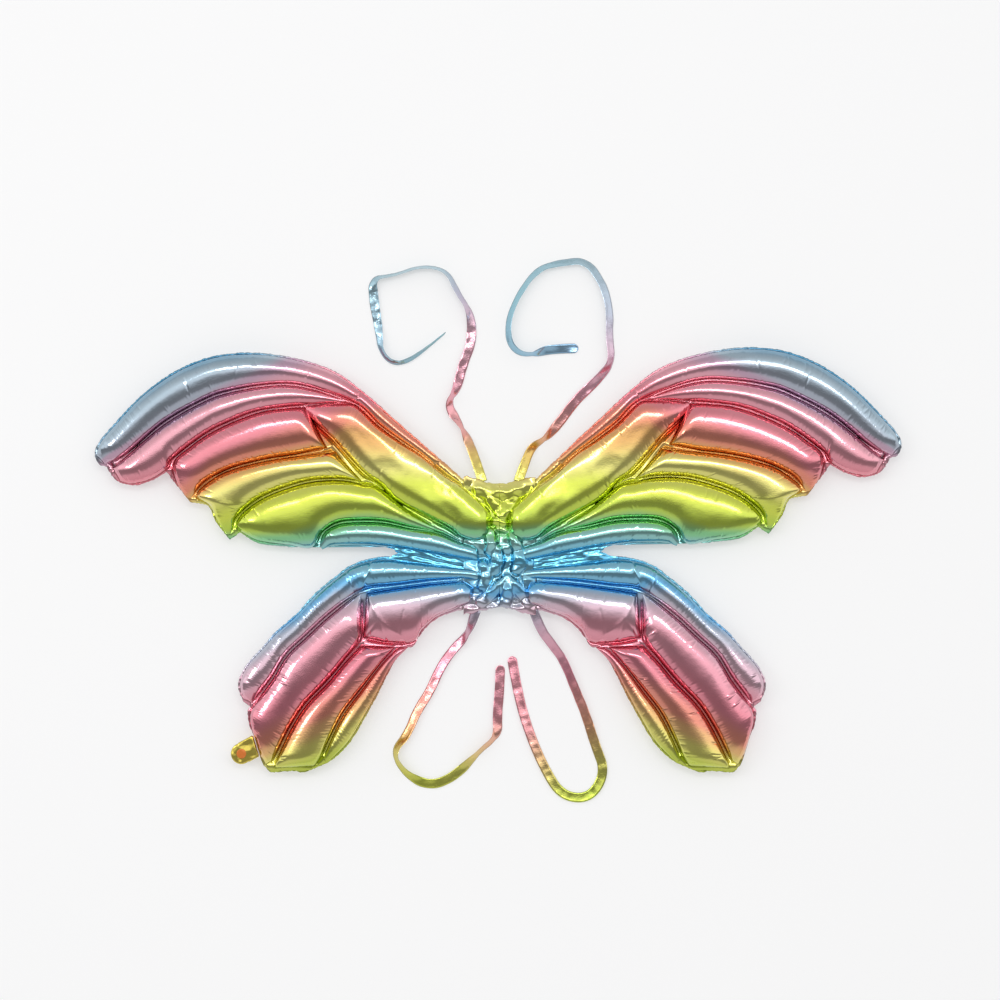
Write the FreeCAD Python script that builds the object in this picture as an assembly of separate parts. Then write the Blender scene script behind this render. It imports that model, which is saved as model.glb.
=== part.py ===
import FreeCAD, Part
import math
import os
from FreeCAD import Vector

# Inflatable fairy wings: two metallised film sheets welded into air cells, tied on with four
# film ribbons. They lie flat on their back: X is the span, Y points at the upper wings, Z is up
# towards the printed front. The origin is on the floor under the middle of the wings.

os.makedirs("parts", exist_ok=True)

# ---- driving dimensions, mm ----
SEAM_Z = 19.0            # height of the plane in which the two sheets are welded
SHEET = 0.5              # thickness that stands for one film sheet
WELD_INSET = 2.6         # from a seam line to the edge of the air cell beside it
WELD_CLEAR = 0.9         # gap between an air cell and the welded film round it
CELL_PUFF_LIMIT = 24.0   # half thickness that a very wide cell would reach
CELL_WIDEST = 58.0       # a cell wider than this is no thicker
CELL_PUFF_WIDTH = 38.0   # cell width over which the half thickness builds up
CELL_ROUND = 0.46        # half thickness is never more than this share of the width
CELL_WALL = 0.8          # film wall of a blown cell, drawn thicker than real film
CELL_EDGE_WALL = 2.2     # the same wall at a cell's welded edges
CELL_NARROWEST_AIR = 14.0  # narrower stretches of a cell are drawn solid
CELL_STATIONS = (0.0, 0.05, 0.12, 0.22, 0.34, 0.46, 0.58, 0.7, 0.8, 0.89, 0.95, 1.0)
HINGE_X = 40.0           # from the middle to the folds at the wing roots
CENTRE_FRONT_RISE = 10.0
CENTRE_BACK_DROP = 12.0
CENTRE_TAPER = 0.7       # size of the gather's outer face against its outline
CENTRE_MIDDLE_Y = 19.0   # height up the back about which the gather narrows
RIGHT_WING_TURN = 1.4    # degrees by which the right wing lies further up than the left
RIGHT_LOWER_SHIFT = 6.0  # the right lower wing reaches this much further out
SHIFT_FROM, SHIFT_OVER = 45.0, 60.0
STRAP_WIDTH = 12.0
STRAP_THICK = 0.6
STRAP_Z = 0.5            # middle of a ribbon that lies on the floor
TAB_CENTRE = (319.0, -238.0)
TAB_RADIUS = 13.0
TAB_ROOT = ((303.5, -214.0), (295.5, -241.0))
TAB_GAP = 1.0            # space inside the tab that holds the two valve films
VALVE_WIDTH = 9.0
MARK_RADIUS = 6.0
MARK_THICK = 0.3

# ---- pattern of the left wing, as (distance out from the middle, height up the back) ----
# Each cell is the strip between two sides that run from its root to its tip.
UPPER_CELLS = {
    "leading_tube": (
        [(72, 123), (127, 171), (169, 208), (206, 234), (252, 249), (303, 256), (352, 252),
         (397, 235), (439, 206), (473, 171), (493, 147), (499, 131)],
        [(80, 118), (96, 131), (123, 149), (149, 168), (176, 193), (224, 211), (259, 218),
         (296, 216), (334, 209), (363, 199), (413, 171), (462, 130), (488, 119)],
    ),
    "second_feather": (
        [(190, 198), (224, 211), (259, 218), (296, 216), (334, 209), (363, 199), (413, 171), (462, 130),
         (479, 114)],
        [(193, 196), (241, 192), (296, 185), (334, 171), (363, 156), (401, 127), (411, 113), (432, 100),
         (453, 95), (469, 98)],
    ),
    "third_feather": (
        [(240, 191), (259, 190), (296, 185), (334, 171), (363, 156), (384, 141), (404, 122), (399, 96),
         (386, 78)],
        [(212, 139), (247, 131), (286, 125), (327, 115), (354, 103), (368, 93), (381, 77)],
    ),
    "fourth_feather": (
        [(203, 137), (247, 131), (286, 125), (327, 115), (354, 103), (376, 82), (359, 69), (349, 49),
         (336, 32)],
        [(168, 97), (197, 101), (233, 99), (266, 90), (294, 78), (316, 62), (327, 49), (332, 34)],
    ),
    "fifth_feather": (
        [(80, 41), (116, 66), (149, 92), (168, 96), (197, 101), (233, 99), (266, 90), (294, 78),
         (316, 62), (326, 48), (324, 38)],
        [(80, 37), (109, 41), (143, 48), (176, 49), (200, 46), (219, 34), (232, 16), (261, 19),
         (296, 24), (316, 34)],
    ),
    "trailing_tube": (
        [(50, 24), (76, 36), (109, 41), (143, 48), (176, 49), (200, 46), (217, 36), (223, 20)],
        [(50, 3), (76, 7), (116, 14), (143, 17), (170, 19), (205, 18), (219, 14)],
    ),
    "arm_tube": (
        [(47, 94), (69, 109), (96, 131), (123, 149), (149, 168), (176, 193), (196, 196), (224, 194),
         (238, 192)],
        [(47, 24), (62, 38), (88, 52), (116, 66), (133, 77), (149, 93), (165, 104), (182, 121),
         (205, 147), (229, 171), (241, 187)],
    ),
}
LOWER_CELLS = {
    "leading_tube": (
        [(50, -9), (74, -5), (111, 0), (146, 3), (180, -5), (203, -21), (227, -41), (251, -67),
         (275, -88), (291, -106), (310, -127), (320, -145), (321, -158), (316, -171)],
        [(50, -22), (85, -25), (133, -31), (164, -34), (185, -47), (213, -69), (239, -93), (263, -116),
         (281, -145), (305, -176)],
    ),
    "second_feather": (
        [(171, -40), (185, -47), (213, -69), (239, -93), (263, -116), (281, -145), (305, -179),
         (309, -195), (304, -215), (297, -238)],
        [(171, -48), (170, -69), (172, -98), (192, -125), (213, -150), (239, -177), (258, -206),
         (278, -244), (289, -252)],
    ),
    "third_feather": (
        [(171, -103), (192, -125), (213, -150), (239, -177), (258, -206), (277, -246), (279, -257)],
        [(128, -106), (146, -127), (170, -158), (192, -187), (208, -218), (219, -241), (228, -254)],
    ),
    "fourth_feather": (
        [(124, -106), (146, -127), (170, -158), (192, -187), (208, -218), (218, -243)],
        [(113, -107), (133, -129), (151, -163), (168, -194), (185, -222), (203, -241), (214, -250)],
    ),
    "root_cell": (
        [(50, -24), (85, -27), (133, -33), (165, -38)],
        [(50, -58), (59, -62), (78, -70), (95, -85), (107, -101), (140, -102), (169, -96)],
    ),
}
# How thick a cell is at its root and at its tip, as a share of its full thickness.
END_PUFF = {
    "leading_tube": (0.3, 0.45),
    "second_feather": (0.35, 0.45),
    "third_feather": (0.3, 0.5),
    "fourth_feather": (0.3, 0.5),
    "fifth_feather": (0.35, 0.5),
    "trailing_tube": (0.3, 0.5),
    "arm_tube": (0.16, 0.5),
    "root_cell": (0.2, 0.35),
}
ROOT_RAMP, TIP_RAMP = 0.2, 0.34  # shares of a cell's length over which it fills out

# The crease between the upper and the lower wing runs from the root to the notch. The film of
# each wing stops just short of it.
ROOT_OUT, NOTCH_OUT = 41.5, 148.0
LOWER_ROOT = (48.0, -58.5)  # the lower film's root slants out to here, clear of the gather when folded
CREASE_ROOT_UP, CREASE_NOTCH_UP = -5.0, 9.5
CREASE_GAP = 0.5
UPPER_CREASE = [(NOTCH_OUT, CREASE_NOTCH_UP + CREASE_GAP), (ROOT_OUT, CREASE_ROOT_UP + CREASE_GAP)]
LOWER_CREASE = [(ROOT_OUT, CREASE_ROOT_UP - CREASE_GAP), (NOTCH_OUT, CREASE_NOTCH_UP - CREASE_GAP)]

# Film outlines, as stretches between corners; each stretch is one smooth curve.
UPPER_FILM = [
    [(ROOT_OUT, 96.5), (64, 116), (127, 171), (169, 208), (206, 234), (252, 249), (303, 256), (352, 252),
     (397, 235), (439, 206), (473, 171), (493, 147), (499, 133), (494, 121), (485, 118)],
    [(485, 118), (473, 101), (453, 95), (432, 100), (411, 112)],
    [(411, 112), (399, 96), (380, 71.5)],
    [(380, 71.5), (359, 68), (349, 49), (333, 28)],
    [(333, 28), (321, 37)],
    [(321, 37), (296, 23), (261, 19), (224, 11)],
    [(224, 11), (217, 17)],
    [(217, 17), (194, 18), (171, 18), UPPER_CREASE[0]],
    UPPER_CREASE,
    [UPPER_CREASE[1], (ROOT_OUT, 96.5)],
]
LOWER_FILM = [
    LOWER_CREASE,
    [LOWER_CREASE[1], (180, -5), (203, -21), (227, -41), (251, -67), (275, -88), (291, -106), (310, -127),
     (320, -145), (321, -158), (315, -173), (306, -179)],
    [(306, -179), (310, -187), (308, -201), (304, -215), (296, -241), (289, -253), (282, -260)],
    [(282, -260), (253, -259), (244, -261), (221, -254.5), (202, -243), (185, -222), (168, -194),
     (151, -163), (133, -127), (117, -106)],
    [(117, -106), (108, -105)],
    [(108, -105), (95, -85), (78, -70), (59, -62), LOWER_ROOT],
    [LOWER_ROOT, LOWER_CREASE[0]],
]
CENTRE_OUTLINE = [(-38, -58), (-26, -66), (0, -64), (28, -66), (38, -58), (38, 94), (26, 104),
                  (2, 96), (-22, 104), (-38, 94)]

# Ribbon routes from the gather out, as (x, y, z). The ends hang free.
STRAP_ROUTES = {
    "upper_left_strap": [
        (-21, 98, SEAM_Z), (-28, 120, 14.0), (-38, 147, 6.0), (-49, 169, 1.5), (-66, 194, STRAP_Z),
        (-53, 214, STRAP_Z), (-46, 243, STRAP_Z), (-34, 273, STRAP_Z), (-36, 308, STRAP_Z),
        (-53, 334, STRAP_Z), (-66, 361, STRAP_Z), (-98, 366, STRAP_Z), (-130, 354, STRAP_Z),
        (-158, 351, STRAP_Z), (-156, 322, STRAP_Z), (-150, 288, STRAP_Z), (-147, 258, STRAP_Z),
        (-129, 243, STRAP_Z), (-102, 254, STRAP_Z), (-67, 284, STRAP_Z),
    ],
    "upper_right_strap": [
        (23, 98, SEAM_Z), (31, 121, 14.0), (40, 142, 6.0), (57, 152, 1.5), (74, 171, STRAP_Z),
        (95, 200, STRAP_Z), (119, 222, STRAP_Z), (140, 246, STRAP_Z), (136, 278, STRAP_Z),
        (137, 311, STRAP_Z), (129, 343, STRAP_Z), (108, 373, STRAP_Z), (78, 370, STRAP_Z),
        (48, 363, STRAP_Z), (24, 331, STRAP_Z), (10, 297, STRAP_Z), (13, 266, STRAP_Z),
        (34, 254, STRAP_Z), (63, 264, STRAP_Z), (98, 264, STRAP_Z),
    ],
    "lower_left_strap": [
        (-29, -61, SEAM_Z), (-34, -77, 14.0), (-42, -95, 6.0), (-59, -112, 1.5), (-74, -134, STRAP_Z),
        (-86, -162, STRAP_Z), (-103, -188, STRAP_Z), (-114, -216, STRAP_Z), (-133, -238, STRAP_Z),
        (-118, -264, STRAP_Z), (-87, -281, STRAP_Z), (-55, -268, STRAP_Z), (-27, -238, STRAP_Z),
        (-2, -217, STRAP_Z), (-3, -192, STRAP_Z), (0, -162, STRAP_Z), (1, -130, STRAP_Z),
    ],
    "lower_right_strap": [
        (42, -61, SEAM_Z), (50, -83, 14.0), (63, -101, 6.0), (79, -122, 1.5), (92, -154, STRAP_Z),
        (107, -190, STRAP_Z), (119, -229, STRAP_Z), (132, -263, STRAP_Z), (113, -296, STRAP_Z),
        (77, -293, STRAP_Z), (55, -257, STRAP_Z), (36, -212, STRAP_Z), (22, -163, STRAP_Z),
        (15, -119, STRAP_Z),
    ],
}


def place(point, side, lobe):
    """Puts a pattern point where it lies on the given side, at the seam plane."""
    out, up = point
    if side == "left":
        return Vector(-out, up, SEAM_Z)
    if lobe == "lower":
        reach = min(max((out - SHIFT_FROM) / SHIFT_OVER, 0.0), 1.0)
        return Vector(out + RIGHT_LOWER_SHIFT * reach, up, SEAM_Z)
    turn = math.radians(RIGHT_WING_TURN)
    dx = out - HINGE_X
    x = HINGE_X + dx * math.cos(turn) - up * math.sin(turn)
    y = dx * math.sin(turn) + up * math.cos(turn)
    return Vector(x + up * math.sin(turn) * max(0.0, 1.0 - dx / SHIFT_OVER), y, SEAM_Z)


def curve_through(points):
    """A line through two points, or one smooth curve through more."""
    if len(points) == 2:
        return Part.LineSegment(points[0], points[1]).toShape()
    curve = Part.BSplineCurve()
    curve.interpolate(points)
    return curve.toShape()


def side_stations(points, fractions, inset):
    """Points along the smooth curve through points, at fractions of what lies between its inset ends."""
    curve = Part.BSplineCurve()
    curve.interpolate(points)
    inner_length = curve.length() - 2 * inset
    distances = [inset + inner_length * fraction for fraction in fractions]
    return [curve.value(curve.parameterAtDistance(d, curve.FirstParameter)) for d in distances]


def chords(sides, side, lobe, fractions, inset):
    """Straight lines across a cell, from one side to the other, drawn in by inset."""
    placed = ([place(p, side, lobe) for p in points] for points in sides)
    outer, inner = (side_stations(points, fractions, inset) for points in placed)
    lines = []
    for a, b in zip(outer, inner):
        across = (b - a).normalize()
        drawn_in = min(inset, (b - a).Length * 0.3)
        lines.append((a + across * drawn_in, b - across * drawn_in))
    return lines


def fill_out(fraction, end_puff):
    """Share of the full thickness at a fraction of a cell's length."""
    shares = []
    ends = ((fraction, ROOT_RAMP, end_puff[0]), (1.0 - fraction, TIP_RAMP, end_puff[1]))
    for distance, length, least in ends:
        ramp = min(distance / length, 1.0)
        shares.append(least + (1.0 - least) * math.sqrt(1.0 - (1.0 - ramp) ** 2))
    return min(shares)


def lens(a, b, half_thickness):
    """A closed section of two arcs that meet at a and b in the seam plane."""
    middle = (a + b) * 0.5
    rise = Vector(0, 0, half_thickness)
    front = Part.Arc(a, middle + rise, b).toShape()
    back = Part.Arc(b, middle - rise, a).toShape()
    return Part.Wire([front, back])


def cell(sides, side, lobe, end_puff):
    """A blown air cell: a closed hollow body with a thin film wall."""
    outer_sections = []
    inner_sections = []
    lines = chords(sides, side, lobe, CELL_STATIONS, WELD_INSET)
    for fraction, (a, b) in zip(CELL_STATIONS, lines):
        width = (b - a).Length
        full = CELL_PUFF_LIMIT * (1.0 - math.exp(-min(width, CELL_WIDEST) / CELL_PUFF_WIDTH))
        half = min(full, CELL_ROUND * width) * fill_out(fraction, end_puff)
        outer_sections.append(lens(a, b, half))
        across = (b - a).normalize() * CELL_EDGE_WALL
        if width > CELL_NARROWEST_AIR and 0.0 < fraction < 1.0:
            inner_sections.append(lens(a + across, b - across, half - CELL_WALL))
    skin = Part.makeLoft(outer_sections, True, False)
    air = Part.makeLoft(inner_sections, True, False)
    return skin.cut(air)


def footprint(sides, side, lobe):
    """The flat hole that a cell leaves in the welded film."""
    lines = chords(sides, side, lobe, CELL_STATIONS, WELD_INSET - WELD_CLEAR)
    outer = [a for a, _ in lines]
    inner = [b for _, b in lines]
    edges = [
        curve_through(outer),
        curve_through([outer[-1], inner[-1]]),
        curve_through(inner[::-1]),
        curve_through([inner[0], outer[0]]),
    ]
    return Part.Face(Part.Wire(edges))


def film(stretches, cells, side, lobe):
    """The welded margin of the sheets round a lobe's cells, as a flat face in the seam plane."""
    edges = [curve_through([place(p, side, lobe) for p in stretch]) for stretch in stretches]
    face = Part.Face(Part.Wire(edges))
    return face.cut([footprint(sides, side, lobe) for sides in cells.values()])


def sheet_pair(face):
    """Front and back sheet of a flat face, which touch in the seam plane."""
    front = face.extrude(Vector(0, 0, SHEET))
    back = face.extrude(Vector(0, 0, -SHEET))
    return front, back


def gather(rise, gap):
    """One sheet of the bunched middle, which narrows to a flat face away from the seam plane."""

    def ring(z, scale):
        points = []
        for x, y in CENTRE_OUTLINE:
            points.append(Vector(x * scale, CENTRE_MIDDLE_Y + (y - CENTRE_MIDDLE_Y) * scale, z))
        return Part.makePolygon(points + [points[0]])

    start = SEAM_Z + math.copysign(gap, rise)
    return Part.makeLoft([ring(start, 1.0), ring(start + rise, CENTRE_TAPER)], True, True)


def rounded_path(points, name):
    """Straight runs joined by tangent arcs, one arc at each inner point."""
    radii = []
    edges = []
    at = points[0]
    for before, corner, after in zip(points, points[1:], points[2:]):
        back = before - corner
        ahead = after - corner
        shorter = min(back.Length, ahead.Length)
        turn = math.pi - back.getAngle(ahead)
        cut = 0.45 * shorter
        radii.append(cut / math.tan(turn / 2))
        back.normalize()
        ahead.normalize()
        start = corner + back * cut
        end = corner + ahead * cut
        inward = (back + ahead).normalize()
        middle = corner + inward * (radii[-1] / math.cos(turn / 2) - radii[-1])
        edges.append(Part.LineSegment(at, start).toShape())
        edges.append(Part.Arc(start, middle, end).toShape())
        at = end
    edges.append(Part.LineSegment(at, points[-1]).toShape())
    path = Part.Wire(edges)
    tightest = ", ".join(f"{radius:.0f}" for radius in radii)
    print(f"{name}: length {path.Length:.0f} mm, arc radii {tightest} mm")
    return path


def ribbon(points, name):
    """A flat band that follows a route with its faces up and down."""
    path = rounded_path([Vector(*p) for p in points], name)
    along = Vector(*points[1]) - Vector(*points[0])
    across = Vector(0, 0, 1).cross(along).normalize() * (STRAP_WIDTH / 2)
    start = Vector(*points[0])
    up = Vector(0, 0, STRAP_THICK / 2)
    corners = [start - across - up, start + across - up, start + across + up, start - across + up]
    section = Part.makePolygon(corners + [corners[0]])
    sweep = Part.BRepOffsetAPI.MakePipeShell(path)
    sweep.setBiNormalMode(Vector(0, 0, 1))
    sweep.add(section)
    sweep.build()
    sweep.makeSolid()
    band = sweep.shape()
    expected = STRAP_WIDTH * STRAP_THICK * path.Length
    print(f"{name}: volume {band.Volume:.0f}, section by length {expected:.0f} mm3")
    return band


def tab_plate(low, high):
    """A flat piece of the tab's outline between two heights above the seam plane."""
    centre = place(TAB_CENTRE, "left", "lower")
    root_a, root_b = (place(p, "left", "lower") for p in TAB_ROOT)
    away = (centre - (root_a + root_b) * 0.5).normalize()
    side = Vector(-away.y, away.x, 0) * TAB_RADIUS
    if (root_a - root_b).dot(side) < 0:
        side = side * -1
    clear = away * 1.2
    edges = [
        Part.LineSegment(root_b + clear, root_a + clear).toShape(),
        Part.LineSegment(root_a + clear, centre + side).toShape(),
        Part.Arc(centre + side, centre + away * TAB_RADIUS, centre - side).toShape(),
        Part.LineSegment(centre - side, root_b + clear).toShape(),
    ]
    face = Part.Face(Part.Wire(edges))
    face.translate(Vector(0, 0, low))
    return face.extrude(Vector(0, 0, high - low)), centre, away


def valve_film(low, high):
    """One of the two narrow films that press together and hold the air in."""
    _, centre, away = tab_plate(low, high)
    root_a, root_b = (place(p, "left", "lower") for p in TAB_ROOT)
    start = (root_a + root_b) * 0.5 + away * 2.5
    half = Vector(-away.y, away.x, 0) * (VALVE_WIDTH / 2)
    end = centre + away * (TAB_RADIUS - 3.0)
    corners = [start - half, start + half, end + half, end - half]
    face = Part.Face(Part.makePolygon(corners + [corners[0]]))
    face.translate(Vector(0, 0, low))
    return face.extrude(Vector(0, 0, high - low))


def build():
    """Makes every piece of the wings, by node name."""
    pieces = {}
    for side in ("left", "right"):
        for lobe, cells, outline in (("upper", UPPER_CELLS, UPPER_FILM), ("lower", LOWER_CELLS, LOWER_FILM)):
            for name, sides in cells.items():
                pieces[f"{side}_{lobe}_{name}"] = cell(sides, side, lobe, END_PUFF[name])
            front, back = sheet_pair(film(outline, cells, side, lobe))
            pieces[f"{side}_{lobe}_front_sheet"] = front
            pieces[f"{side}_{lobe}_back_sheet"] = back
    pieces["centre_front_gather"] = gather(CENTRE_FRONT_RISE, SHEET)
    pieces["centre_back_gather"] = gather(-CENTRE_BACK_DROP, SHEET)
    for name, route in STRAP_ROUTES.items():
        pieces[name] = ribbon(route, name)
    half_gap = TAB_GAP / 2
    pieces["tab_front_sheet"], centre, _ = tab_plate(half_gap, half_gap + SHEET)
    pieces["tab_back_sheet"], _, _ = tab_plate(-half_gap - SHEET, -half_gap)
    pieces["valve_front_film"] = valve_film(0.0, half_gap)
    pieces["valve_back_film"] = valve_film(-half_gap, 0.0)
    mark_base = centre + Vector(0, 0, half_gap + SHEET)
    pieces["filling_mark"] = Part.makeCylinder(MARK_RADIUS, MARK_THICK, mark_base)
    return pieces


for node, shape in build().items():
    solids = shape.Solids
    if len(solids) != 1 or not shape.isValid():
        print(f"check {node}: {len(solids)} solids, valid {shape.isValid()}")
    shape.exportStep(f"parts/{node}.step")
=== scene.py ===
"""Looks of the inflatable fairy wings: printed metallised film, blown up, gathered and tied with ribbons."""
import logging
import math
from dataclasses import dataclass, field
from enum import Enum

import bmesh
import bpy
import numpy as np
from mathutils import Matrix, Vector


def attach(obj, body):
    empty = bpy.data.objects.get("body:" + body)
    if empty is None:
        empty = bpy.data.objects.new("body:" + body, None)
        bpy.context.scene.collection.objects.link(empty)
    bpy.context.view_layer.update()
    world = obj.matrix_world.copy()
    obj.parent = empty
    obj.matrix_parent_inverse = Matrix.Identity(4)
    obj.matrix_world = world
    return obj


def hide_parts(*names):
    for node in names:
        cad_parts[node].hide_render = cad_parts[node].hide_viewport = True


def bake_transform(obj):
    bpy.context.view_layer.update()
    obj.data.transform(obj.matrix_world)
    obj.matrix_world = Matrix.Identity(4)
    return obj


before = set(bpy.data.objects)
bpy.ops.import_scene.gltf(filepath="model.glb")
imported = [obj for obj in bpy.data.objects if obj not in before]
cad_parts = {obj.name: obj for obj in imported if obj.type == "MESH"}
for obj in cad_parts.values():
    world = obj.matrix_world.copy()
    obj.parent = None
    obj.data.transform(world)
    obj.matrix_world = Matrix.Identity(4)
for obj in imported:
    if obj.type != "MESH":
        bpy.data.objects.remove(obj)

logging.basicConfig(level=logging.INFO, format="%(message)s")
log = logging.getLogger("fairy_wings")

MM = 0.001                      # one millimetre in Blender's metres
SEAM_Z = 19.0                   # the plane in which the two sheets are welded, mm above the floor
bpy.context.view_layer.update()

Line = list[tuple[float, float]]
Route = list[tuple[float, float, float]]


class Side(Enum):
    """Which wing a piece belongs to."""

    LEFT = "left"
    RIGHT = "right"


class Lobe(Enum):
    """Upper or lower wing."""

    UPPER = "upper"
    LOWER = "lower"


# ---------------------------------------------------------------- pattern of the film


@dataclass(frozen=True)
class Fold:
    """A sharp fold pressed into a blown cell, from one place to another as (out, up) in mm."""

    start: tuple[float, float]
    end: tuple[float, float]
    depth: float = 0.8      # below 0 it stands up as a ridge
    width: float = 1.2


@dataclass(frozen=True)
class CellPattern:
    """An air cell between two seams that run from its root to its tip, as (out, up) in mm.

    root_fill and tip_fill are the lengths in mm over which the cell fills out from its ends.
    """

    name: str
    outer: Line
    inner: Line
    root_fill: float = 26.0
    tip_fill: float = 34.0
    folds: tuple[Fold, ...] = ()


UPPER_CELLS = [
    CellPattern(
        "leading_tube",
        [(72, 123), (127, 171), (169, 208), (206, 234), (252, 249), (303, 256), (352, 252),
         (397, 235), (439, 206), (473, 171), (493, 147), (499, 131)],
        [(80, 118), (96, 131), (123, 149), (149, 168), (176, 193), (224, 211), (259, 218),
         (296, 216), (334, 209), (363, 199), (413, 171), (462, 130), (488, 119)],
        root_fill=60.0, tip_fill=26.0,
        folds=(Fold((168, 214), (182, 190), 1.1, 1.6), Fold((322, 246), (328, 214), 0.5, 0.9),
               Fold((388, 224), (376, 194), 0.6, 0.9), Fold((236, 236), (238, 212), 0.5, 0.8)),
    ),
    CellPattern(
        "second_feather",
        [(190, 198), (224, 211), (259, 218), (296, 216), (334, 209), (363, 199), (413, 171),
         (462, 130), (479, 114)],
        [(193, 196), (241, 192), (296, 185), (334, 171), (363, 156), (401, 127), (411, 113),
         (432, 100), (453, 95), (469, 98)],
        root_fill=60.0, tip_fill=24.0,
    ),
    CellPattern(
        "third_feather",
        [(240, 191), (259, 190), (296, 185), (334, 171), (363, 156), (384, 141), (404, 122),
         (399, 96), (386, 78)],
        [(212, 139), (247, 131), (286, 125), (327, 115), (354, 103), (368, 93), (381, 77)],
        root_fill=18.0, tip_fill=40.0,
    ),
    CellPattern(
        "fourth_feather",
        [(203, 137), (247, 131), (286, 125), (327, 115), (354, 103), (376, 82), (359, 69),
         (349, 49), (336, 32)],
        [(168, 97), (197, 101), (233, 99), (266, 90), (294, 78), (316, 62), (327, 49), (332, 34)],
        root_fill=20.0, tip_fill=40.0,
    ),
    CellPattern(
        "fifth_feather",
        [(80, 41), (116, 66), (149, 92), (168, 96), (197, 101), (233, 99), (266, 90), (294, 78),
         (316, 62), (326, 48), (324, 38)],
        [(80, 37), (109, 41), (143, 48), (176, 49), (200, 46), (219, 34), (232, 16), (261, 19),
         (296, 24), (316, 34)],
        root_fill=50.0, tip_fill=40.0,
    ),
    CellPattern(
        "trailing_tube",
        [(26, 17), (38, 21), (50, 25), (76, 36), (109, 41), (143, 48), (176, 49), (200, 46),
         (217, 36), (223, 20)],
        [(24, -1), (37, 1), (50, 3), (76, 7), (116, 14), (143, 17), (170, 19), (205, 18), (219, 14)],
        root_fill=9.0, tip_fill=26.0,
    ),
    CellPattern(
        "arm_tube",
        [(9, 62), (27, 78), (47, 94), (69, 109), (96, 131), (123, 149), (149, 168), (176, 193),
         (196, 196), (224, 194), (238, 192)],
        [(11, 30), (28, 24), (47, 27), (62, 38), (88, 52), (116, 66), (133, 77), (149, 93),
         (165, 104), (182, 121), (205, 147), (229, 171), (241, 187)],
        root_fill=20.0, tip_fill=50.0,
    ),
]
LOWER_CELLS = [
    CellPattern(
        "leading_tube",
        [(46, -9), (74, -5), (111, 0), (146, 3), (180, -5), (203, -21), (227, -41), (251, -67),
         (275, -88), (291, -106), (310, -127), (320, -145), (321, -158), (316, -171)],
        [(46, -22), (85, -25), (133, -31), (164, -34), (185, -47), (213, -69), (239, -93),
         (263, -116), (281, -145), (305, -176)],
        root_fill=2.5, tip_fill=26.0,
        folds=(Fold((154, 6), (172, -40), 1.7, 2.0), Fold((190, -6), (178, -44), 0.7, 1.2),
               Fold((140, 4), (141, -34), 0.8, 1.0), Fold((125, 2), (126, -32), 0.7, 0.9),
               Fold((90, -2), (91, -28), 0.7, 0.9), Fold((62, -6), (62, -24), 0.6, 0.9)),
    ),
    CellPattern(
        "second_feather",
        [(171, -40), (185, -47), (213, -69), (239, -93), (263, -116), (281, -145), (305, -179),
         (309, -195), (304, -215), (297, -238)],
        [(171, -48), (170, -69), (172, -98), (192, -125), (213, -150), (239, -177), (258, -206),
         (278, -244), (289, -252)],
        root_fill=40.0, tip_fill=26.0,
    ),
    CellPattern(
        "third_feather",
        [(171, -103), (192, -125), (213, -150), (239, -177), (258, -206), (277, -246), (279, -257)],
        [(128, -106), (146, -127), (170, -158), (192, -187), (208, -218), (219, -241), (228, -254)],
        root_fill=18.0, tip_fill=22.0,
    ),
    CellPattern(
        "fourth_feather",
        [(124, -106), (146, -127), (170, -158), (192, -187), (208, -218), (218, -243)],
        [(113, -107), (133, -129), (151, -163), (168, -194), (185, -222), (203, -241), (214, -250)],
        root_fill=14.0, tip_fill=22.0,
    ),
    CellPattern(
        "root_cell",
        [(46, -24), (85, -27), (133, -33), (165, -38)],
        [(46, -56), (59, -62), (78, -70), (95, -85), (107, -101), (140, -102), (169, -96)],
        root_fill=2.5, tip_fill=20.0,
        folds=(Fold((163, -39), (148, -72), -1.1, 2.6), Fold((148, -72), (112, -100), -1.0, 2.6),
               Fold((148, -72), (168, -95), 0.9, 1.8), Fold((148, -72), (139, -101), 0.8, 1.6),
               Fold((100, -34), (94, -82), 0.5, 1.2), Fold((118, -60), (126, -100), 0.6, 1.2)),
    ),
]
# The lower tubes run on into the gathered middle. These stretches stay where they lie, with their place baked
# in.
ROOT_STRETCHES = [
    CellPattern(
        "leading_root",
        [(23, -12), (34, -10), (46, -9), (58, -7)],
        [(24, -25), (34, -23.5), (46, -22), (58, -22.6)],
        root_fill=8.0, tip_fill=2.5,
    ),
    CellPattern(
        "cell_root",
        [(31, -33), (38, -28), (46, -24), (58, -24.8)],
        [(32, -48), (38, -53), (46, -56), (58, -61.6)],
        root_fill=10.0, tip_fill=2.5,
    ),
]
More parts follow.
